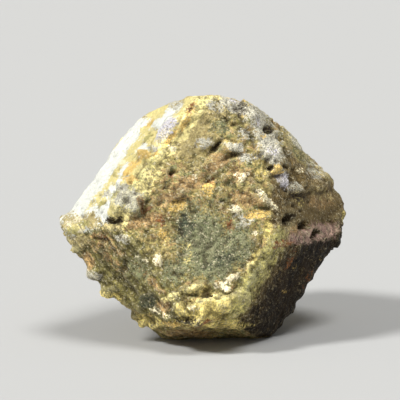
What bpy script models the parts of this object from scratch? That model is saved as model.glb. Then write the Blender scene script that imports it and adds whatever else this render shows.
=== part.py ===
"""A garnet crystal, in metres with +Z up and its best face towards -Y.

It is one worn rhombic dodecahedron. The crystal is cut from a block by its face planes and
meshed evenly. Then it is weathered: its edges are worn round, and crusts, ledges, lumps, pits
and grooves are raised or sunk in its surface. A flat is cut underneath, and it rests on that.
"""

import math
from collections import namedtuple

import bmesh
import bpy
import numpy as np
from mathutils import Matrix, Vector, noise

NAME = "garnet_crystal"
MM = 0.001
BLOCK_SIDE = 70.0  # mm, the block that the crystal is cut from
MESH_SIZE = 0.75  # mm, the side of the squares that the surface is shaped with
TRIANGLES = 9000  # of the finished crystal

# How the crystal's own axes are set in the part's, in degrees.
LEAN_FORWARD = 21.0
ROLL = 1.0
TURN = 8.7

# The crystal's centre in mm. Its height above the seat decides how wide the seat is.
CENTRE = Vector((-0.1, -0.7, 14.4))

# Each main face: a direction in the crystal's own axes, and its distance from the centre in mm.
FACES = {
    "front": ((0, -1, 1), 12.95),
    "upper_left": ((-1, 0, 1), 15.35),
    "upper_right": ((1, 0, 1), 16.0),
    "upper_back": ((0, 1, 1), 15.5),
    "left_front": ((-1, -1, 0), 17.6),
    "right_front": ((1, -1, 0), 15.2),
    "left_back": ((-1, 1, 0), 14.0),
    "right_back": ((1, 1, 0), 17.5),
    "front_rim": ((0.05, -1, 0.2), 18.6),
    "under_front": ((0, -1, -1), 16.3),
    "under_left": ((-1, 0, -1), 13.0),
    "under_right": ((1, 0, -1), 14.2),
    "under_back": ((0, 1, -1), 15.2),
    "right_shoulder": ((0.75, -0.47, 0.47), 14.8),
}

# Narrow faces and lost corners: a direction in the crystal's own axes, and how far below the
# farthest point that way the crystal is cut off, in mm.
CUT_BACK = {
    "upper_left_edge": ((-1, -1, 2), 0.85),
    "upper_right_edge": ((1, -1, 2), 0.9),
    "upper_left_corner": ((-1, 1, 1), 1.5),
    "lower_left_corner": ((-1, -1, -1), 2.4),
    "lower_right_corner": ((1, -1, -1), 0.5),
    "back_left_edge": ((-2, 1, 1), 0.8),
    "back_right_edge": ((1, 2, 1), 1.0),
    "back_top_edge": ((1, 1, 2), 0.7),
    "lower_back_edge": ((1, 2, -1), 0.9),
}

# A side that things are placed from: the directions of its across and up, and the one it faces.
SIDES = {
    "front": (Vector((1, 0, 0)), Vector((0, 0, 1)), Vector((0, -1, 0))),
    "right": (Vector((0, 1, 0)), Vector((0, 0, 1)), Vector((1, 0, 0))),
    "back": (Vector((-1, 0, 0)), Vector((0, 0, 1)), Vector((0, 1, 0))),
    "left": (Vector((0, -1, 0)), Vector((0, 0, 1)), Vector((-1, 0, 0))),
    "top": (Vector((1, 0, 0)), Vector((0, 1, 0)), Vector((0, 0, 1))),
}

# An oval place on a side, in mm from the part's origin, with its half width and half height.
# turn is in degrees from across towards up, and rise is how far it stands out, or in if negative.
Spot = namedtuple("Spot", "side across up wide high turn rise")

# Flat-topped crusts with ragged rims.
CRUSTS = (
    Spot("front", 8.0, 27.9, 5.6, 1.4, -59, 0.75),
    Spot("front", -9.6, 19.9, 2.4, 2.0, 40, 0.50),
    Spot("front", -4.6, 28.7, 2.2, 0.9, 55, 0.35),
    Spot("front", -9.0, 23.7, 3.4, 0.8, 57, 0.45),
    Spot("front", 0.8, 5.9, 5.8, 1.6, 8, 0.35),
    Spot("front", 6.8, 20.9, 3.0, 1.0, -38, 0.40),
    Spot("right", -2.0, 25.3, 4.2, 3.0, 30, 0.45),
    Spot("right", 4.0, 11.3, 5.0, 3.4, -50, 0.50),
    Spot("back", 4.0, 23.3, 5.2, 4.0, 35, 0.50),
    Spot("back", -7.0, 16.3, 4.0, 5.0, 10, 0.45),
    Spot("back", 6.0, 9.3, 4.6, 2.6, -30, 0.55),
    Spot("left", -6.0, 20.3, 3.4, 2.6, -35, 0.40),
    Spot("left", 5.0, 11.8, 3.4, 4.2, 20, 0.50),
    Spot("top", 0.0, 6.0, 4.4, 3.0, 20, 0.40),
)

# Rounded lumps.
LUMPS = (
    Spot("front", -7.6, 25.2, 1.0, 0.8, 0, 0.55),
    Spot("front", -13.4, 6.9, 1.2, 1.1, 0, 1.10),
    Spot("front", -14.9, 9.7, 1.2, 0.9, -50, 0.75),
    Spot("front", 14.6, 8.1, 1.0, 1.2, 0, 0.70),
    Spot("front", 13.2, 5.9, 1.2, 1.0, 0, 0.80),
    Spot("front", 11.8, 3.5, 1.4, 1.1, 0, 0.80),
    Spot("front", 0.6, 5.9, 6.4, 1.8, 8, 0.90),
    Spot("front", -3.4, 6.6, 1.2, 1.0, 0, 0.60),
    Spot("front", 2.2, 6.4, 1.5, 1.0, 10, 0.60),
    Spot("front", 5.4, 7.4, 1.2, 0.8, 20, 0.55),
    Spot("front", -0.6, 5.2, 1.4, 1.0, 0, 0.55),
    Spot("front", -6.0, 3.2, 1.6, 0.8, 5, 0.50),
    Spot("front", -5.9, 12.2, 0.9, 0.7, 20, 0.40),
    Spot("front", 4.0, 9.9, 1.0, 0.7, 30, 0.40),
    Spot("front", -0.1, 26.6, 1.1, 0.7, 20, 0.30),
    Spot("front", 3.9, 26.3, 1.4, 0.8, -10, 0.35),
    Spot("front", -8.6, 3.1, 1.8, 1.0, -25, 0.60),
    Spot("right", 3.6, 15.2, 0.8, 0.8, 0, 0.60),
    Spot("back", -3.0, 26.3, 1.4, 1.1, 0, 0.50),
    Spot("back", 10.0, 18.3, 1.3, 1.0, 30, 0.60),
    Spot("back", 1.0, 14.3, 1.6, 1.1, -20, 0.50),
    Spot("left", -3.0, 12.3, 1.2, 1.0, 0, 0.55),
    Spot("left", 2.0, 7.3, 1.4, 1.2, 0, 0.60),
    Spot("right", 9.0, 17.3, 1.3, 1.2, 0, 0.55),
    Spot("top", 3.0, -1.0, 1.2, 1.0, 0, 0.35),
)

# Pits and short grooves.
PITS = (
    Spot("front", 8.6, 28.0, 0.9, 0.6, -30, -0.90),
    Spot("front", 11.8, 16.8, 0.9, 1.0, 0, -1.00),
    Spot("front", 14.0, 15.2, 0.9, 0.8, -40, -0.80),
    Spot("front", 15.7, 13.7, 0.7, 0.9, 0, -0.70),
    Spot("front", 1.8, 26.7, 1.6, 0.5, 45, -0.70),
    Spot("front", 3.9, 25.3, 1.1, 0.5, 10, -0.60),
    Spot("front", -12.2, 17.3, 1.6, 0.7, 10, -0.90),
    Spot("front", -8.1, 18.9, 0.6, 1.2, 10, -0.70),
    Spot("front", 10.3, 22.7, 0.7, 0.6, 0, -0.70),
    Spot("front", -4.0, 23.5, 0.8, 0.5, 0, -0.45),
    Spot("front", -1.0, 7.9, 3.2, 0.6, 4, -0.80),
    Spot("back", 2.0, 19.3, 1.0, 0.9, 0, -0.90),
    Spot("back", -9.0, 21.3, 1.2, 0.7, 40, -0.80),
    Spot("back", 9.0, 13.3, 0.9, 1.1, 0, -0.80),
    Spot("left", 3.0, 18.3, 1.1, 0.8, 20, -0.80),
    Spot("left", -5.0, 11.3, 0.9, 1.0, 0, -0.80),
    Spot("right", 6.0, 21.3, 1.2, 0.7, -30, -0.80),
    Spot("right", 0.0, 8.3, 1.0, 0.9, 0, -0.70),
    Spot("top", -8.0, 3.0, 1.2, 0.8, 30, -0.70),
)

# A ledge runs from one place on a side to another. Its left-hand side stands out by rise at
# the line, and that fades away from the line over run. The line strays by up to wander. All in mm.
Ledge = namedtuple("Ledge", "side start end rise run wander")
LEDGES = (
    Ledge("front", (12.2, 19.9), (20.5, 18.9), 0.85, 3.6, 0.25),
    Ledge("front", (-9.2, 17.9), (-5.2, 20.0), 0.28, 6.0, 0.80),
    Ledge("front", (-5.2, 20.0), (4.8, 19.6), 0.22, 8.0, 1.20),
    Ledge("front", (4.8, 19.6), (10.4, 18.3), 0.35, 6.0, 0.60),
    Ledge("front", (5.6, 8.6), (-4.6, 7.9), 0.50, 3.4, 0.50),
    Ledge("front", (-7.2, 22.3), (-4.6, 26.5), 0.55, 3.0, 0.40),
    Ledge("front", (-4.6, 26.5), (-0.8, 31.3), 0.50, 3.0, 0.40),
    Ledge("front", (-12.4, 16.9), (-7.2, 22.3), 0.55, 3.4, 0.50),
    Ledge("back", (-8.0, 20.3), (6.0, 26.3), 0.50, 5.0, 0.80),
    Ledge("back", (-9.0, 9.3), (8.0, 15.3), 0.55, 4.0, 0.80),
    Ledge("left", (-10.0, 12.3), (-3.0, 16.3), 0.50, 3.5, 0.80),
    Ledge("right", (-3.0, 12.3), (12.0, 8.3), 0.55, 4.0, 0.80),
    Ledge("right", (0.0, 23.3), (12.0, 18.3), 0.50, 4.0, 0.80),
    Ledge("top", (-7.0, 4.0), (1.0, 12.0), 0.45, 4.0, 0.80),
)
LEDGE_STEEPNESS = 0.55  # mm, half the width of a ledge's step
LEDGE_ENDS = 1.6  # mm, over which a ledge's ends die away
LEDGE_NOISE_SIZE = 2.4  # mm, the size of the bends in a ledge

# The natural roughness everywhere: the size of its bumps and how high they stand, in mm.
ROUGHNESS = ((10.0, 0.20), (3.6, 0.16), (1.6, 0.10))
NOISE_OCTAVES = 3
PATTERN_SHIFT = Vector((17.3, 5.1, 11.9))  # from one noise pattern to the next
WEAR_PATTERN = 1
RIM_PATTERN = 2
BEND_PATTERN = 3
FIRST_ROUGHNESS_PATTERN = 4
RIM_RAGGEDNESS = 0.35  # how far a crust's rim wanders, as a share of its size
RIM_NOISE_SIZE = 1.6  # mm
CRUST_RIM = (0.75, 1.15)  # where a crust starts to fall and where it ends, as shares of its size
LUMP_FOOT = 1.3  # where a lump or pit ends, as a share of its size
FACING_LIMIT = 0.05  # a place on a side only reaches the surface that looks that way

# How often the surface is drawn in where it is least and most worn, the size in mm of those
# stretches, and the noise values between which the wear goes from least to most.
LIGHT_WEAR_ROUNDS = 2
HEAVY_WEAR_ROUNDS = 9
WEAR_STRETCH = 5.0
WEAR_RANGE = (-0.3, 0.6)
SEAT_TOLERANCE = 0.02  # mm, points nearer to the seat than this are moved onto it

COLOUR = (0.27, 0.23, 0.12, 1.0)
SURFACE_ROUGHNESS = 0.75
SHARP_ANGLE = math.radians(50)


def clear_scene():
    for existing in list(bpy.data.objects):
        bpy.data.objects.remove(existing, do_unlink=True)


def smooth_step(low, high, values):
    share = np.clip((values - low) / (high - low), 0.0, 1.0)
    return share * share * (3.0 - 2.0 * share)


def noise_at(points, size, pattern):
    """Fractal noise, about -1 to 1, with bumps of the size in mm."""
    shift = PATTERN_SHIFT * pattern
    values = [
        noise.fractal(Vector(point) / size + shift, 1.0, 2.0, NOISE_OCTAVES)
        for point in points
    ]
    return np.array(values)


def keep_below(solid, direction, distance):
    """Cuts off what lies past a plane across the direction, and closes the cut."""
    geometry = solid.verts[:] + solid.edges[:] + solid.faces[:]
    cut = bmesh.ops.bisect_plane(
        solid,
        geom=geometry,
        plane_co=CENTRE + direction * distance,
        plane_no=direction,
        clear_outer=True,
    )
    rim = [item for item in cut["geom_cut"] if isinstance(item, bmesh.types.BMEdge)]
    if rim:
        bmesh.ops.contextual_create(solid, geom=rim)


def crystal_axes():
    lean = Matrix.Rotation(math.radians(LEAN_FORWARD), 3, "X")
    roll = Matrix.Rotation(math.radians(ROLL), 3, "Y")
    turn = Matrix.Rotation(math.radians(TURN), 3, "Z")
    return turn @ roll @ lean


def cut_crystal():
    """The sharp crystal, cut from a block, in mm."""
    axes = crystal_axes()
    solid = bmesh.new()
    bmesh.ops.create_cube(solid, size=BLOCK_SIDE)
    bmesh.ops.translate(solid, verts=solid.verts, vec=CENTRE)
    for own_direction, distance in FACES.values():
        keep_below(solid, axes @ Vector(own_direction).normalized(), distance)
    for own_direction, depth in CUT_BACK.values():
        direction = axes @ Vector(own_direction).normalized()
        farthest = max((vertex.co - CENTRE).dot(direction) for vertex in solid.verts)
        keep_below(solid, direction, farthest - depth)
    bmesh.ops.recalc_face_normals(solid, faces=solid.faces)
    return solid


def evenly_meshed(solid):
    """The same shape, covered with small squares of one size."""
    sharp_mesh = bpy.data.meshes.new("sharp_crystal")
    solid.to_mesh(sharp_mesh)
    solid.free()
    sharp = bpy.data.objects.new("sharp_crystal", sharp_mesh)
    bpy.context.scene.collection.objects.link(sharp)
    remesh = sharp.modifiers.new("Even mesh", "REMESH")
    remesh.mode = "VOXEL"
    remesh.voxel_size = MESH_SIZE
    evaluated = sharp.evaluated_get(bpy.context.evaluated_depsgraph_get())
    even = bpy.data.meshes.new_from_object(evaluated)
    bpy.data.objects.remove(sharp)
    bpy.data.meshes.remove(sharp_mesh)
    even.name = NAME
    return even


def read_points(mesh):
    points = np.empty(len(mesh.vertices) * 3)
    mesh.vertices.foreach_get("co", points)
    return points.reshape(-1, 3)


def read_normals(mesh):
    normals = np.empty(len(mesh.vertices) * 3)
    mesh.vertex_normals.foreach_get("vector", normals)
    return normals.reshape(-1, 3)


def write_points(mesh, points):
    mesh.vertices.foreach_set("co", points.astype(np.float32).ravel())
    mesh.update()


def relaxed(mesh, points, rounds):
    """The points drawn towards their neighbours, which rounds every edge and corner."""
    ends = np.empty(len(mesh.edges) * 2, np.int32)
    mesh.edges.foreach_get("vertices", ends)
    ends = ends.reshape(-1, 2)
    neighbours = np.bincount(ends.ravel(), minlength=len(points))[:, None]
    for _ in range(rounds):
        total = np.zeros_like(points)
        np.add.at(total, ends[:, 0], points[ends[:, 1]])
        np.add.at(total, ends[:, 1], points[ends[:, 0]])
        points = (points + total / neighbours) / 2
    return points


def wear_edges(mesh):
    """Rounds the edges, more in some stretches than in others."""
    sharp = read_points(mesh)
    light = relaxed(mesh, sharp, LIGHT_WEAR_ROUNDS)
    heavy = relaxed(mesh, light, HEAVY_WEAR_ROUNDS)
    share = smooth_step(*WEAR_RANGE, noise_at(sharp, WEAR_STRETCH, WEAR_PATTERN))
    write_points(mesh, light + (heavy - light) * share[:, None])


def side_view(side, points, normals):
    """Each point's place across and up as seen from a side, and if it faces that side."""
    across, up, facing = (np.array(axis) for axis in SIDES[side])
    return points @ across, points @ up, normals @ facing > FACING_LIMIT


def spot_distance(spot, points, normals):
    """How far each point is from a spot's middle, where 1 is its rim."""
    across, up, faces_it = side_view(spot.side, points, normals)
    turn = math.radians(spot.turn)
    across = across - spot.across
    up = up - spot.up
    along = across * math.cos(turn) + up * math.sin(turn)
    over = up * math.cos(turn) - across * math.sin(turn)
    distance = np.hypot(along / spot.wide, over / spot.high)
    return np.where(faces_it, distance, np.inf)


def spot_heights(points, normals):
    """How far crusts, lumps and pits move each point out or in."""
    heights = np.zeros(len(points))
    ragged = RIM_RAGGEDNESS * noise_at(points, RIM_NOISE_SIZE, RIM_PATTERN)
    for crust in CRUSTS:
        distance = spot_distance(crust, points, normals) + ragged
        heights += crust.rise * (1.0 - smooth_step(*CRUST_RIM, distance))
    for rounded in LUMPS + PITS:
        distance = spot_distance(rounded, points, normals)
        heights += rounded.rise * (1.0 - smooth_step(0.0, LUMP_FOOT, distance))
    return heights


def ledge_heights(points, normals):
    heights = np.zeros(len(points))
    bends = noise_at(points, LEDGE_NOISE_SIZE, BEND_PATTERN)
    for ledge in LEDGES:
        across, up, faces_it = side_view(ledge.side, points, normals)
        start = np.array(ledge.start)
        length = math.dist(ledge.start, ledge.end)
        run_across, run_up = (np.array(ledge.end) - start) / length
        along = (across - start[0]) * run_across + (up - start[1]) * run_up
        off = (up - start[1]) * run_across - (across - start[0]) * run_up
        off = off + ledge.wander * bends
        step = smooth_step(-LEDGE_STEEPNESS, LEDGE_STEEPNESS, off)
        fade = 1.0 - smooth_step(0.0, ledge.run, off)
        ends = smooth_step(-LEDGE_ENDS, LEDGE_ENDS, along)
        ends *= 1.0 - smooth_step(length - LEDGE_ENDS, length + LEDGE_ENDS, along)
        heights += np.where(faces_it, ledge.rise * step * fade * ends, 0.0)
    return heights


def weather_surface(mesh):
    """Moves the surface out and in along its normals by everything that roughens it."""
    points = read_points(mesh)
    normals = read_normals(mesh)
    heights = spot_heights(points, normals) + ledge_heights(points, normals)
    for pattern, (size, height) in enumerate(ROUGHNESS, start=FIRST_ROUGHNESS_PATTERN):
        heights += height * noise_at(points, size, pattern)
    write_points(mesh, points + normals * heights[:, None])


def cut_seat(mesh):
    """Cuts the crystal off flat at z = 0."""
    solid = bmesh.new()
    solid.from_mesh(mesh)
    cut = bmesh.ops.bisect_plane(
        solid,
        geom=solid.verts[:] + solid.edges[:] + solid.faces[:],
        dist=SEAT_TOLERANCE,
        plane_co=(0, 0, 0),
        plane_no=(0, 0, -1),
        clear_outer=True,
    )
    rim = [item for item in cut["geom_cut"] if isinstance(item, bmesh.types.BMEdge)]
    for vertex in solid.verts:
        if vertex.co.z < SEAT_TOLERANCE:
            vertex.co.z = 0.0
    bmesh.ops.contextual_create(solid, geom=rim)
    bmesh.ops.triangulate(solid, faces=solid.faces)
    bmesh.ops.recalc_face_normals(solid, faces=solid.faces)
    solid.to_mesh(mesh)
    solid.free()


def stand_on_origin(mesh):
    """Puts the middle of the crystal's base at the origin, and turns mm into metres."""
    points = read_points(mesh)
    low, high = points.min(axis=0), points.max(axis=0)
    middle = (low + high) / 2
    middle[2] = low[2]
    write_points(mesh, (points - middle) * MM)


def garnet_material():
    material = bpy.data.materials.new("weathered_garnet")
    material.use_nodes = True
    shader = material.node_tree.nodes["Principled BSDF"]
    shader.inputs["Base Color"].default_value = COLOUR
    shader.inputs["Roughness"].default_value = SURFACE_ROUGHNESS
    shader.inputs["Metallic"].default_value = 0.0
    material.diffuse_color = COLOUR
    return material


def thinned(mesh):
    """The same surface with fewer triangles, kept where it bends most."""
    full = bpy.data.objects.new("full_crystal", mesh)
    bpy.context.scene.collection.objects.link(full)
    thin = full.modifiers.new("Thin", "DECIMATE")
    thin.ratio = TRIANGLES / (2 * len(mesh.polygons))
    thin.use_collapse_triangulate = True
    evaluated = full.evaluated_get(bpy.context.evaluated_depsgraph_get())
    made = bpy.data.meshes.new_from_object(evaluated)
    bpy.data.objects.remove(full)
    bpy.data.meshes.remove(mesh)
    made.name = NAME
    return made


def make_crystal(collection):
    mesh = evenly_meshed(cut_crystal())
    wear_edges(mesh)
    weather_surface(mesh)
    mesh = thinned(mesh)
    cut_seat(mesh)
    stand_on_origin(mesh)
    mesh.shade_smooth()
    mesh.set_sharp_from_angle(angle=SHARP_ANGLE)
    mesh.materials.append(garnet_material())
    crystal = bpy.data.objects.new(NAME, mesh)
    collection.objects.link(crystal)
    return crystal


def main():
    clear_scene()
    collection = bpy.data.collections.new("Garnet crystal")
    bpy.context.scene.collection.children.link(collection)
    make_crystal(collection)


main()
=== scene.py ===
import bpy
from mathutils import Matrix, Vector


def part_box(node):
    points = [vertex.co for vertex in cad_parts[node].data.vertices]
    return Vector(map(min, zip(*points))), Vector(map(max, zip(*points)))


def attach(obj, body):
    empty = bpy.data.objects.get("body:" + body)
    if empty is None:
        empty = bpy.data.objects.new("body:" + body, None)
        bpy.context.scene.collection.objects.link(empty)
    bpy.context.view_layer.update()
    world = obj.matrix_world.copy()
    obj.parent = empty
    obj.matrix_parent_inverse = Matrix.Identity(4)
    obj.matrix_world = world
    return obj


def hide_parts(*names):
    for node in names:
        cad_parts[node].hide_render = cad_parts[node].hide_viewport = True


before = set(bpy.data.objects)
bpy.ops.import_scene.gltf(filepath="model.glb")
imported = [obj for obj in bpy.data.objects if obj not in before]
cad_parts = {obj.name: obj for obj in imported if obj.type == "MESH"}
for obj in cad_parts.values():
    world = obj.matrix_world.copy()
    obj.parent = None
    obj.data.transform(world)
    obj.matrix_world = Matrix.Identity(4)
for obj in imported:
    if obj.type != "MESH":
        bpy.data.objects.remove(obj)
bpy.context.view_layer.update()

# The weathered garnet crystal with its fine relief and its colours, painted shade and painted
# highlights among them, on a pale floor.
# The crystal is cut from the same planes as the solid that it stands for, meshed nearly three
# times as finely, and carries the same crusts, ledges, lumps and pits with smaller ones between.

import math
import random
from collections import namedtuple

import bmesh
import bpy
import numpy as np
from mathutils import Matrix, Vector, noise

NODE = "garnet_crystal"
PIECE = "weathered_crystal"
MM = 0.001
BLOCK_SIDE = 70.0  # mm, the block that the crystal is cut from
MESH_SIZE = 0.26  # mm, the side of the squares of the surface

# How the crystal's own axes are set in the part's, in degrees.
LEAN_FORWARD = 21.0
ROLL = 1.0
TURN = 8.7
CENTRE = Vector((-0.1, -0.7, 14.4))  # mm

# Each main face: a direction in the crystal's own axes, and its distance from the centre in mm.
FACES = {
    "front": ((0, -1, 1), 12.95),
    "upper_left": ((-1, 0, 1), 15.35),
    "upper_right": ((1, 0, 1), 16.0),
    "upper_back": ((0, 1, 1), 15.5),
    "left_front": ((-1, -1, 0), 17.6),
    "right_front": ((1, -1, 0), 15.2),
    "left_back": ((-1, 1, 0), 14.0),
    "right_back": ((1, 1, 0), 17.5),
    "front_rim": ((0.05, -1, 0.2), 18.6),
    "under_front": ((0, -1, -1), 16.3),
    "under_left": ((-1, 0, -1), 13.0),
    "under_right": ((1, 0, -1), 14.2),
    "under_back": ((0, 1, -1), 15.2),
    "right_shoulder": ((0.75, -0.47, 0.47), 14.8),
}

# Narrow faces and lost corners: a direction in the crystal's own axes, and how far below the
# farthest point that way the crystal is cut off, in mm.
CUT_BACK = {
    "upper_left_edge": ((-1, -1, 2), 0.85),
    "upper_right_edge": ((1, -1, 2), 0.9),
    "upper_left_corner": ((-1, 1, 1), 1.5),
    "lower_left_corner": ((-1, -1, -1), 2.4),
    "lower_right_corner": ((1, -1, -1), 0.5),
    "back_left_edge": ((-2, 1, 1), 0.8),
    "back_right_edge": ((1, 2, 1), 1.0),
    "back_top_edge": ((1, 1, 2), 0.7),
    "lower_back_edge": ((1, 2, -1), 0.9),
}

# A side that things are placed from: the directions of its across and up, and the one it faces.
# "best" is the front, seen from a little above.
BEST_HEIGHT = math.radians(9.0)
SIDES = {
    "front": (Vector((1, 0, 0)), Vector((0, 0, 1)), Vector((0, -1, 0))),
    "right": (Vector((0, 1, 0)), Vector((0, 0, 1)), Vector((1, 0, 0))),
    "back": (Vector((-1, 0, 0)), Vector((0, 0, 1)), Vector((0, 1, 0))),
    "left": (Vector((0, -1, 0)), Vector((0, 0, 1)), Vector((-1, 0, 0))),
    "top": (Vector((1, 0, 0)), Vector((0, 1, 0)), Vector((0, 0, 1))),
    "best": (
        Vector((1, 0, 0)),
        Vector((0, math.sin(BEST_HEIGHT), math.cos(BEST_HEIGHT))),
        Vector((0, -math.cos(BEST_HEIGHT), math.sin(BEST_HEIGHT))),
    ),
}

# An oval place on a side, in mm from the part's origin, with its half width and half height.
# turn is in degrees from across towards up, and rise is how far it stands out, or in if negative.
# Most places on the front were read off the photo in pixels, and carried through the
# camera onto the solid to get their mm.
Spot = namedtuple("Spot", "side across up wide high turn rise")


def spots_on(side, places):
    """Spots on one side, from the rest of their values."""
    return tuple(Spot(side, *place) for place in places)


# Flat-topped crusts with ragged rims.
CRUSTS = spots_on("front", (
    (8, 27.9, 5.6, 1.4, -59, 0.75),
    (-9.6, 19.9, 2.4, 2, 40, 0.5),
    (-4.6, 28.7, 2.2, 0.9, 55, 0.35),
    (-9, 23.7, 3.4, 0.8, 57, 0.45),
    (0.8, 5.9, 5.8, 1.6, 8, 0.35),
    (6.8, 20.9, 3, 1, -38, 0.4),
)) + (
    Spot("right", -2, 25.3, 4.2, 3, 30, 0.45),
    Spot("right", 4, 11.3, 5, 3.4, -50, 0.5),
    Spot("back", 4, 23.3, 5.2, 4, 35, 0.5),
    Spot("back", -7, 16.3, 4, 5, 10, 0.45),
    Spot("back", 6, 9.3, 4.6, 2.6, -30, 0.55),
    Spot("left", -6, 20.3, 3.4, 2.6, -35, 0.4),
    Spot("left", 5, 11.8, 3.4, 4.2, 20, 0.5),
    Spot("top", 0, 6, 4.4, 3, 20, 0.4),
)

# Rounded lumps.
LUMPS = spots_on("front", (
    (-7.6, 25.2, 1, 0.8, 0, 0.55),
    (-13.4, 6.9, 1.2, 1.1, 0, 1.1),
    (-14.9, 9.7, 1.2, 0.9, -50, 0.75),
    (14.6, 8.1, 1, 1.2, 0, 0.7),
    (13.2, 5.9, 1.2, 1, 0, 0.8),
    (11.8, 3.5, 1.4, 1.1, 0, 0.8),
    (0.6, 5.9, 6.4, 1.8, 8, 0.9),
    (-3.4, 6.6, 1.2, 1, 0, 0.6),
    (2.2, 6.4, 1.5, 1, 10, 0.6),
    (5.4, 7.4, 1.2, 0.8, 20, 0.55),
    (-0.6, 5.2, 1.4, 1, 0, 0.55),
    (-6, 3.2, 1.6, 0.8, 5, 0.5),
    (-5.9, 12.2, 0.9, 0.7, 20, 0.4),
    (4, 9.9, 1, 0.7, 30, 0.4),
    (-0.1, 26.6, 1.1, 0.7, 20, 0.3),
    (3.9, 26.3, 1.4, 0.8, -10, 0.35),
    (-8.6, 3.1, 1.8, 1, -25, 0.6),
)) + (
    Spot("right", 3.6, 15.2, 0.8, 0.8, 0, 0.6),
    Spot("back", -3, 26.3, 1.4, 1.1, 0, 0.5),
    Spot("back", 10, 18.3, 1.3, 1, 30, 0.6),
    Spot("back", 1, 14.3, 1.6, 1.1, -20, 0.5),
    Spot("left", -3, 12.3, 1.2, 1, 0, 0.55),
    Spot("left", 2, 7.3, 1.4, 1.2, 0, 0.6),
    Spot("right", 9, 17.3, 1.3, 1.2, 0, 0.55),
    Spot("top", 3, -1, 1.2, 1, 0, 0.35),
)

# Pits and short grooves.
PITS = spots_on("front", (
    (8.6, 28, 0.9, 0.6, -30, -0.9),
    (11.8, 16.8, 0.9, 1, 0, -1),
    (14, 15.2, 0.9, 0.8, -40, -0.8),
    (15.7, 13.7, 0.7, 0.9, 0, -0.7),
    (1.8, 26.7, 1.6, 0.5, 45, -0.7),
    (3.9, 25.3, 1.1, 0.5, 10, -0.6),
    (-12.2, 17.3, 1.6, 0.7, 10, -0.9),
    (-8.1, 18.9, 0.6, 1.2, 10, -0.7),
    (10.3, 22.7, 0.7, 0.6, 0, -0.7),
    (-4, 23.5, 0.8, 0.5, 0, -0.45),
    (-1, 7.9, 3.2, 0.6, 4, -0.8),
)) + (
    Spot("back", 2, 19.3, 1, 0.9, 0, -0.9),
    Spot("back", -9, 21.3, 1.2, 0.7, 40, -0.8),
    Spot("back", 9, 13.3, 0.9, 1.1, 0, -0.8),
    Spot("left", 3, 18.3, 1.1, 0.8, 20, -0.8),
    Spot("left", -5, 11.3, 0.9, 1, 0, -0.8),
    Spot("right", 6, 21.3, 1.2, 0.7, -30, -0.8),
    Spot("right", 0, 8.3, 1, 0.9, 0, -0.7),
    Spot("top", -8, 3, 1.2, 0.8, 30, -0.7),
)

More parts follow.
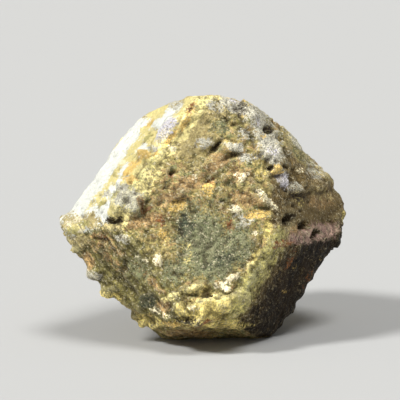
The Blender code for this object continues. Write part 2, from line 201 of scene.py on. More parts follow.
# Smaller lumps and crumbs, too small for the solid.
CRUMBS = spots_on("best", (
    (-11.7, 21.4, 0.5, 0.5, 0, 0.45),
    (-13.4, 16.5, 0.7, 0.5, 0, 0.45),
    (-12.5, 17.2, 0.5, 0.5, 0, 0.3),
    (-14.6, 16.1, 0.7, 0.5, 0, 0.3),
    (-11.3, 15.8, 0.7, 0.6, 0, 0.45),
    (-10.3, 17.8, 0.7, 0.7, 0, 0.35),
    (-9.1, 17.3, 0.7, 0.7, 0, 0.3),
    (-9.9, 16.4, 0.7, 0.5, 0, 0.3),
    (-11, 18.8, 0.5, 0.5, 0, 0.3),
    (-14.8, 18, 0.7, 0.5, 0, 0.3),
    (-15.9, 15.9, 0.7, 0.5, 0, 0.3),
    (-7.7, 23.4, 0.9, 0.5, 10, 0.35),
    (-1.7, 3.4, 0.6, 0.5, 0, 0.55),
    (-3.3, 3.9, 0.7, 0.7, 0, 0.4),
    (-0.2, 3, 0.8, 0.7, 0, 0.35),
    (1.5, 3.5, 0.8, 0.5, 10, 0.35),
    (3.2, 4.2, 0.8, 0.5, 10, 0.3),
    (4.7, 4.9, 0.7, 0.5, 20, 0.35),
    (-4.4, 4.7, 0.7, 0.7, 0, 0.3),
    (-1, 6, 1.3, 0.4, 15, 0.5),
    (3.9, 7.2, 0.8, 0.5, 30, 0.4),
    (3.2, 5.6, 0.5, 0.4, 0, 0.35),
    (-6, 9.7, 0.5, 0.5, 0, 0.35),
    (-7.8, 9.7, 0.5, 0.3, -25, 0.3),
    (5.6, 20.8, 0.7, 0.4, 35, 0.4),
    (4.5, 21.1, 0.3, 0.3, 0, 0.3),
    (4.4, 16.4, 0.7, 0.4, -10, 0.35),
    (8.5, 17.7, 1.6, 0.3, -39, 0.4),
    (0.3, 25.3, 0.9, 0.7, 10, 0.1),
    (4.2, 24.7, 1.4, 0.7, -10, 0.1),
    (10.9, 20.3, 0.7, 0.8, 20, 0.3),
    (9.7, 21.6, 0.5, 0.5, 0, 0.3),
    (-4.7, 27.1, 1.8, 0.7, 50, 0.3),
    (-4.2, 24.6, 0.5, 0.4, 0, 0.3),
    (13.3, 6.6, 0.6, 0.6, 0, 0.3),
    (6.3, 9, 0.4, 0.9, -30, 0.3),
    (-9.8, 1.9, 0.8, 0.5, -20, 0.4),
    (-8.3, 1.1, 0.7, 0.5, -15, 0.4),
    (-6.3, 0.7, 0.7, 0.5, 0, 0.45),
    (-4, 1.3, 0.9, 0.5, 0, 0.4),
    (-2, 0.7, 0.8, 0.5, 0, 0.4),
    (4.8, 0.7, 1.4, 0.5, 5, 0.4),
    (8.5, 1.4, 1.2, 0.5, 5, 0.35),
    (2.3, 0.2, 1.1, 0.5, 0, 0.3),
    (-14.7, 7.7, 1.1, 0.5, -25, 0.15),
    (-13.6, 5, 0.7, 0.7, 0, 0.1),
    (-12.1, 5.7, 0.7, 0.5, 0, 0.25),
    (-16.4, 11.5, 0.5, 0.5, 0, 0.3),
    (-17.4, 11, 0.5, 0.5, 0, 0.3),
    (1.1, 19.2, 0.7, 0.8, -20, 0.25),
    (-3.3, 18.2, 0.7, 0.7, 0, 0.2),
    (-0.6, 21.1, 0.8, 0.5, 20, 0.2),
    (2.3, 18.2, 0.7, 0.5, 0, 0.2),
    (6.4, 19.2, 0.8, 0.5, -20, 0.25),
    (7.2, 24.3, 0.8, 0.5, -20, 0.2),
    (6, 29.1, 1.6, 0.5, -53, 0.25),
    (-3, 29.3, 1, 0.5, 20, 0.3),
    (-6.1, 28.1, 0.8, 0.7, 30, 0.3),
    (-7.5, 25.9, 0.8, 0.7, 30, 0.3),
    (-8.8, 24.2, 0.8, 0.5, 40, 0.25),
    (-0.6, 29.1, 1.1, 0.4, 25, 0.3),
)) + (
    Spot("left", 4.9, 15.7, 1.6, 1.6, 0, 0.35),
    Spot("front", 3.9, 25.3, 1.1, 0.5, 10, 0.35),
    Spot("front", -1, 7.9, 2.4, 0.5, 4, 0.3),
)

# Crusts too thin for the solid.
THIN_CRUSTS = spots_on("best", (
    (0.3, 25.3, 1.1, 0.9, 10, 0.12),
    (4.4, 24.7, 1.7, 0.8, -5, 0.12),
    (8.7, 24.6, 2.4, 1.2, -48, 0.18),
    (5.8, 29.2, 2, 0.7, -53, 0.18),
    (-10, 17.6, 1.7, 1.6, 0, 0.15),
    (-4.7, 26.9, 2, 0.8, 50, 0.08),
    (-17.9, 14.4, 2, 1.4, 0, 0.12),
    (15.7, 13.1, 2.6, 1.2, 8, 0.12),
    (-1, 6, 2.4, 0.7, 12, 0.25),
    (-3.6, 8.6, 1, 0.7, -40, 0.15),
    (8, 21, 1.2, 0.9, 20, 0.15),
    (2, 20.6, 1.4, 0.8, -15, 0.15),
    (-3, 18.4, 1.3, 0.9, 15, 0.15),
    (-13.6, 10, 1.5, 0.8, -40, 0.15),
))

# Smaller pits and crevices.
HOLES = spots_on("best", (
    (-12.2, 15, 1.1, 0.3, 5, -0.2),
    (-8.3, 16.9, 0.3, 0.7, 8, -0.2),
    (8.6, 27.1, 0.5, 0.4, -30, -0.2),
    (12.1, 15.2, 0.5, 0.6, 0, -0.9),
    (14, 14.3, 0.5, 0.6, -30, -0.7),
    (15.9, 13.3, 0.4, 0.4, 0, -0.6),
    (15.3, 12.5, 0.3, 0.3, 0, -0.5),
    (12.9, 18.4, 0.3, 0.3, 0, -0.5),
    (13.8, 19.2, 0.3, 0.3, 0, -0.4),
    (11.9, 17.8, 0.3, 0.3, 0, -0.5),
    (12.5, 16.9, 0.3, 0.3, 0, -0.45),
    (11, 17, 0.3, 0.2, 0, -0.4),
    (14.7, 17.4, 0.3, 0.2, 0, -0.35),
    (13.5, 16.2, 0.3, 0.2, 0, -0.35),
    (11.5, 18.9, 0.2, 0.2, 0, -0.35),
    (13.1, 20, 0.2, 0.2, 0, -0.35),
    (14.3, 20.9, 0.2, 0.2, 0, -0.3),
    (1.7, 24.9, 0.9, 0.3, 45, -0.2),
    (4.2, 23.8, 0.8, 0.2, -5, -0.2),
    (9.1, 21.9, 0.3, 0.3, 0, -0.5),
    (10.8, 22.1, 0.4, 0.3, -20, -0.55),
    (-4.3, 21.1, 0.3, 0.3, 0, -0.5),
    (-1.5, 29.9, 0.8, 0.4, 45, -0.45),
    (0.2, 4.8, 1.2, 0.3, 18, -0.55),
    (-1.7, 4.3, 0.4, 0.2, 0, -0.5),
    (3.3, 5.1, 1.1, 0.2, 20, -0.4),
    (-13.8, 12.3, 1.1, 0.3, -12, -0.35),
    (-8.7, 18.4, 0.2, 0.9, -25, -0.3),
    (4.4, 27.9, 0.7, 0.3, 10, -0.45),
    (3, 23.2, 1.2, 0.2, 25, -0.35),
    (1, 20.3, 0.9, 0.2, 30, -0.3),
    (-2.8, 20, 0.8, 0.2, -20, -0.3),
    (-5.2, 19.2, 0.8, 0.2, 30, -0.3),
    (-6.7, 14.1, 0.9, 0.2, -20, -0.3),
    (3.7, 14.1, 0.4, 0.7, 0, -0.25),
    (-2, 2.2, 1.9, 0.3, 3, -0.5),
    (2.7, 2.3, 1.9, 0.3, 8, -0.5),
    (-7.7, 5.3, 0.8, 0.2, -45, -0.25),
    (-10.3, 9.5, 0.9, 0.2, -45, -0.25),
    (7.9, 12.1, 0.3, 1.6, -10, -0.2),
)) + (
    Spot("right", 3.6, 15.1, 0.9, 0.9, 0, -0.55),
    Spot("front", -3.1, 6.6, 1.5, 1.1, 0, -0.5),
)

# A ledge runs from one place on a side to another. Its left-hand side stands out by rise at
# the line, and that fades away from the line over run. The line strays by up to wander. All in mm.
Ledge = namedtuple("Ledge", "side start end rise run wander")
LEDGES = (
    Ledge("front", (12.2, 19.9), (20.5, 18.9), 0.85, 3.6, 0.25),
    Ledge("front", (-9.2, 17.9), (-5.2, 20), 0.28, 6, 0.8),
    Ledge("front", (-5.2, 20), (4.8, 19.6), 0.22, 8, 1.2),
    Ledge("front", (4.8, 19.6), (10.4, 18.3), 0.35, 6, 0.6),
    Ledge("front", (5.6, 8.6), (-4.6, 7.9), 0.5, 3.4, 0.5),
    Ledge("front", (-7.2, 22.3), (-4.6, 26.5), 0.55, 3, 0.4),
    Ledge("front", (-4.6, 26.5), (-0.8, 31.3), 0.5, 3, 0.4),
    Ledge("front", (-12.4, 16.9), (-7.2, 22.3), 0.55, 3.4, 0.5),
    Ledge("back", (-8, 20.3), (6, 26.3), 0.5, 5, 0.8),
    Ledge("back", (-9, 9.3), (8, 15.3), 0.55, 4, 0.8),
    Ledge("left", (-10, 12.3), (-3, 16.3), 0.5, 3.5, 0.8),
    Ledge("right", (-3, 12.3), (12, 8.3), 0.55, 4, 0.8),
    Ledge("right", (0, 23.3), (12, 18.3), 0.5, 4, 0.8),
    Ledge("top", (-7, 4), (1, 12), 0.45, 4, 0.8),
)
LEDGE_STEEPNESS = 0.35  # mm, half the width of a ledge's step
LEDGE_ENDS = 1.6  # mm, over which a ledge's ends die away
LEDGE_NOISE_SIZE = 2.4  # mm, the size of the bends in a ledge

# The natural roughness everywhere: the size of its bumps and how high they stand, in mm.
ROUGHNESS = ((10.0, 0.20), (3.6, 0.16), (1.6, 0.09))
FLAKE_SIZE = 2.6  # mm
FLAKE_STEPS = 6
FLAKE_HEIGHT = 0.26  # mm, how far the highest flakes stand out and the lowest lie in
FLAKE_STEP = (0.3, 0.7)  # where the rise from one flake to the next starts and ends
GRAINS = ((1.3, 0.05), (0.7, 0.04))  # the size and height of rounded grains, in mm
GRAIN_FOOT = 0.65  # how far from its middle a grain ends, as a share of its size
CRACK_WIDTH = 0.18  # of the cracks between the grains, as a share of their size
CRACK_DEPTH = 0.5  # as a share of the grains' height
LEAST_GRAIN = 0.35  # how much of a grain there still is outside its patches
GRIT = ((0.9, 0.09), (0.5, 0.07))  # the size and height of the smallest bumps, in mm
KNOB_SIZE = 2.1  # mm, of the knobs on the yellow rim
KNOB_HEIGHT = 0.65  # mm
KNOB_FOOT = 0.7  # how far from its middle a knob ends, as a share of its size
KNOB_RISE = 0.45  # how much of a knob's height stands above the surface
PATCH_SIZE = 5.0  # mm, of the patches with more of one grain or the other
PATCH_RANGE = (-0.35, 0.35)  # the noise values that a patch starts and is full at
# The grooves down the lower left face.
GROOVE_TURN = -50.0  # degrees
GROOVE_LENGTH = 5.0  # mm
GROOVE_WIDTH = 0.7  # mm
GROOVE_CHANGE = 0.2  # how fast the grooves change from front to back, for each mm
GROOVE_HEIGHT = 0.22  # mm

# Places that are smoother than the rest. Rise is how smooth, from 0 to 1.
SMOOTH_PLACES = spots_on("best", (
    (-1.2, 26.4, 3, 2.6, 40, 1),
    (-8.6, 25.4, 6, 1.2, 50, 0.8),
    (16, 16.4, 3.4, 2.6, 0, 1),
    (-17.6, 13.6, 1.8, 2.4, 0, 0.3),
    (9, 28.4, 2.2, 1.4, -40, 0.7),
)) + (
    Spot("back", 3, 20, 5, 4, 20, 0.8),
    Spot("left", 4, 20, 4, 3, 0, 0.7),
    Spot("right", 4, 18, 4, 3, 0, 0.7),
)
FRACTAL = (1.0, 2.0, 3)  # how fast the finer noises fade, how much finer each is, and how many
PATTERN_SHIFT = Vector((17.3, 5.1, 11.9))  # from one noise pattern to the next
# The number of each noise pattern. Those with several sizes of bump use the next numbers too.
WEAR_PATTERN = 1
RIM_PATTERN = 2
BEND_PATTERN = 3
ROUGH_PATTERN = 4
STAIN_PATTERN = 8
PATCH_PATTERN = 12
FLAKE_PATTERN = 13
GRAIN_PATTERN = 14
GRIT_PATTERN = 20
GROOVE_PATTERN = 24
KNOB_PATTERN = 26
RIM_RAGGEDNESS = 0.35  # how far a crust's rim wanders, as a share of its size
LUMP_RAGGEDNESS = 0.5  # how far a lump's or pit's does, as a share of a crust's
RIM_NOISE_SIZE = 1.6  # mm
CRUST_RIM = (0.85, 1.1)  # where a crust starts to fall and where it ends, as shares of its size
LUMP_FOOT = 1.3  # where a lump or pit ends, as a share of its size
FACING_LIMIT = 0.05  # a place on a side only reaches the surface that looks that way

# How often the surface is drawn in where it is least and most worn, the size in mm of those
# stretches, and the noise values between which the wear goes from least to most.
LIGHT_WEAR_ROUNDS = 10
HEAVY_WEAR_ROUNDS = 70
WEAR_STRETCH = 5.0
WEAR_RANGE = (-0.3, 0.6)


def smooth_step(low, high, values):
    share = np.clip((values - low) / (high - low), 0.0, 1.0)
    return share * share * (3.0 - 2.0 * share)


def noise_at(points, size, pattern):
    """Fractal noise, about -1 to 1, with bumps of the size in mm."""
    shift = PATTERN_SHIFT * pattern
    return np.array([noise.fractal(Vector(point) / size + shift, *FRACTAL) for point in points])


def cells_at(points, size, pattern):
    """How far each point is from the middle of its cell, and from the next one, in cell sizes."""
    shift = PATTERN_SHIFT * pattern
    found = [noise.voronoi(Vector(point) / size + shift)[0][:2] for point in points]
    return np.array(found).T


def keep_below(solid, direction, distance):
    """Cuts off what lies past a plane across the direction, and closes the cut."""
    geometry = solid.verts[:] + solid.edges[:] + solid.faces[:]
    cut = bmesh.ops.bisect_plane(
        solid,
        geom=geometry,
        plane_co=CENTRE + direction * distance,
        plane_no=direction,
        clear_outer=True,
    )
    rim = [item for item in cut["geom_cut"] if isinstance(item, bmesh.types.BMEdge)]
    if rim:
        bmesh.ops.contextual_create(solid, geom=rim)


def crystal_axes():
    lean = Matrix.Rotation(math.radians(LEAN_FORWARD), 3, "X")
    roll = Matrix.Rotation(math.radians(ROLL), 3, "Y")
    turn = Matrix.Rotation(math.radians(TURN), 3, "Z")
    return turn @ roll @ lean


def cut_crystal():
    """The sharp crystal in mm, and the direction and distance of each of its planes."""
    axes = crystal_axes()
    planes = {}
    solid = bmesh.new()
    bmesh.ops.create_cube(solid, size=BLOCK_SIDE)
    bmesh.ops.translate(solid, verts=solid.verts, vec=CENTRE)
    for name, (own_direction, distance) in FACES.items():
        direction = axes @ Vector(own_direction).normalized()
        keep_below(solid, direction, distance)
        planes[name] = (direction, distance)
    for name, (own_direction, depth) in CUT_BACK.items():
        direction = axes @ Vector(own_direction).normalized()
        distance = max((vertex.co - CENTRE).dot(direction) for vertex in solid.verts) - depth
        keep_below(solid, direction, distance)
        planes[name] = (direction, distance)
    bmesh.ops.recalc_face_normals(solid, faces=solid.faces)
    return solid, planes


def evenly_meshed(solid):
    """The same shape, covered with small squares of one size."""
    sharp_mesh = bpy.data.meshes.new("sharp_crystal")
    solid.to_mesh(sharp_mesh)
    solid.free()
    sharp = bpy.data.objects.new("sharp_crystal", sharp_mesh)
    bpy.context.scene.collection.objects.link(sharp)
    remesh = sharp.modifiers.new("Even mesh", "REMESH")
    remesh.mode = "VOXEL"
    remesh.voxel_size = MESH_SIZE
    evaluated = sharp.evaluated_get(bpy.context.evaluated_depsgraph_get())
    even = bpy.data.meshes.new_from_object(evaluated)
    bpy.data.objects.remove(sharp)
    bpy.data.meshes.remove(sharp_mesh)
    even.name = PIECE
    return even


def read_points(mesh):
    points = np.empty(len(mesh.vertices) * 3)
    mesh.vertices.foreach_get("co", points)
    return points.reshape(-1, 3)


def read_normals(mesh):
    normals = np.empty(len(mesh.vertices) * 3)
    mesh.vertex_normals.foreach_get("vector", normals)
    return normals.reshape(-1, 3)


def write_points(mesh, points):
    mesh.vertices.foreach_set("co", points.astype(np.float32).ravel())
    mesh.update()


def relaxed(mesh, points, rounds):
    """The points drawn towards their neighbours, which rounds every edge and corner."""
    ends = np.empty(len(mesh.edges) * 2, np.int32)
    mesh.edges.foreach_get("vertices", ends)
    first, second = ends.reshape(-1, 2).T
    count = len(points)
    neighbours = np.bincount(ends, minlength=count)
    points = points.copy()
    for _ in range(rounds):
        for axis in range(points.shape[1]):
            values = points[:, axis]
            total = np.bincount(first, values[second], count)
            total += np.bincount(second, values[first], count)
            points[:, axis] = (values + total / neighbours) / 2
    return points


def wear_edges(mesh):
    """Rounds the edges, more in some stretches than in others."""
    sharp = read_points(mesh)
    light = relaxed(mesh, sharp, LIGHT_WEAR_ROUNDS)
    heavy = relaxed(mesh, light, HEAVY_WEAR_ROUNDS)
    share = smooth_step(*WEAR_RANGE, noise_at(sharp, WEAR_STRETCH, WEAR_PATTERN))
    write_points(mesh, light + (heavy - light) * share[:, None])


def side_view(side, points, normals):
    """Each point's place across and up as seen from a side, and if it faces that side."""
    across, up, facing = (np.array(axis) for axis in SIDES[side])
    return points @ across, points @ up, normals @ facing > FACING_LIMIT


def spot_distance(spot, points, normals):
    """How far each point is from a spot's middle, where 1 is its rim."""
    across, up, faces_it = side_view(spot.side, points, normals)
    turn = math.radians(spot.turn)
    across = across - spot.across
    up = up - spot.up
    along = across * math.cos(turn) + up * math.sin(turn)
    over = up * math.cos(turn) - across * math.sin(turn)
    distance = np.hypot(along / spot.wide, over / spot.high)
    return np.where(faces_it, distance, np.inf)


def scattered(scatter, rises, seed):
    """Spots of mixed size thrown over the sides that look away from the front."""
    dice = random.Random(seed)
    spots = []
    for side, (across, up) in HIDDEN_PLACES.items():
        for _ in range(scatter.count):
            wide = dice.uniform(scatter.smallest, scatter.largest)
            high = wide * dice.uniform(*SCATTERED_SHAPE)
            place = (dice.uniform(*across), dice.uniform(*up))
            turn = dice.uniform(-90, 90)
            spots.append(Spot(side, *place, wide, high, turn, dice.uniform(*rises)))
    return tuple(spots)


def spot_heights(points, normals):
    """How far crusts, lumps and pits move each point out or in."""
    heights = np.zeros(len(points))
    ragged = RIM_RAGGEDNESS * noise_at(points, RIM_NOISE_SIZE, RIM_PATTERN)
    for crust in CRUSTS + THIN_CRUSTS:
        distance = spot_distance(crust, points, normals) + ragged
        heights += crust.rise * (1.0 - smooth_step(*CRUST_RIM, distance))
    crumbs = CRUMBS + scattered(CRUMB_SCATTER, CRUMB_RISE, "crumbs")
    holes = HOLES + scattered(HOLE_SCATTER, HOLE_RISE, "holes")
    drawn_in = LUMP_RAGGEDNESS * np.maximum(ragged, 0.0)
    for places, rim in ((LUMPS + PITS, drawn_in), (crumbs + holes, ragged)):
        for place in places:
            distance = spot_distance(place, points, normals) + rim
            heights += place.rise * (1.0 - smooth_step(0.0, LUMP_FOOT, distance))
    return heights


def ledge_heights(points, normals):
    heights = np.zeros(len(points))
    bends = noise_at(points, LEDGE_NOISE_SIZE, BEND_PATTERN)
    for ledge in LEDGES:
        across, up, faces_it = side_view(ledge.side, points, normals)
        start = np.array(ledge.start)
        length = math.dist(ledge.start, ledge.end)
        run_across, run_up = (np.array(ledge.end) - start) / length
        along = (across - start[0]) * run_across + (up - start[1]) * run_up
        off = (up - start[1]) * run_across - (across - start[0]) * run_up
        off = off + ledge.wander * bends
        step = smooth_step(-LEDGE_STEEPNESS, LEDGE_STEEPNESS, off)
        fade = 1.0 - smooth_step(0.0, ledge.run, off)
        ends = smooth_step(-LEDGE_ENDS, LEDGE_ENDS, along)
        ends *= 1.0 - smooth_step(length - LEDGE_ENDS, length + LEDGE_ENDS, along)
        heights += np.where(faces_it, ledge.rise * step * fade * ends, 0.0)
    return heights


# ---- stains, painted shade and painted highlights: which faces and places carry each ----
# A stain on a face: how far below the face's plane it starts to end and ends, in mm. If there
# is a near face, the stain only lies beside it, within reach of its plane in mm. A reach below
# 0 keeps the stain away from it instead.
FaceStain = namedtuple("FaceStain", "stain face inner outer near reach")
FACE_STAINS = (
    FaceStain("white", "upper_left", 0.1, 0.9, None, 0),
    FaceStain("straw", "upper_left_edge", 0.0, 0.4, None, 0),
    FaceStain("drab", "right_front", 0.4, 1.4, None, 0),
    # The dark brown on the lower right face and under it is partly its own colour and partly painted
    # shade. It is kept away from the front edge so that the face darkens away from it.
    FaceStain("umber", "right_front", 0.1, 1.3, "front", -7.0),
    FaceStain("umber", "under_right", 0.4, 1.4, "right_front", 4.0),
    FaceStain("olive", "right_front", 0.6, 1.6, "front", 3.6),
    FaceStain("yellow", "front_rim", 0.2, 0.8, None, 0),
    FaceStain("yellow", "under_front", 0.3, 1.2, "front_rim", 3.4),
    FaceStain("moss", "left_front", 0.3, 1.4, None, 0),
    FaceStain("drab", "right_shoulder", 0.1, 1.0, None, 0),
    FaceStain("sand", "upper_back", 0.4, 1.8, "upper_left", 9.0),
    FaceStain("moss", "under_back", 0.4, 1.8, None, 0),
    FaceStain("drab", "right_back", 0.4, 1.8, "upper_right", 8.0),
)
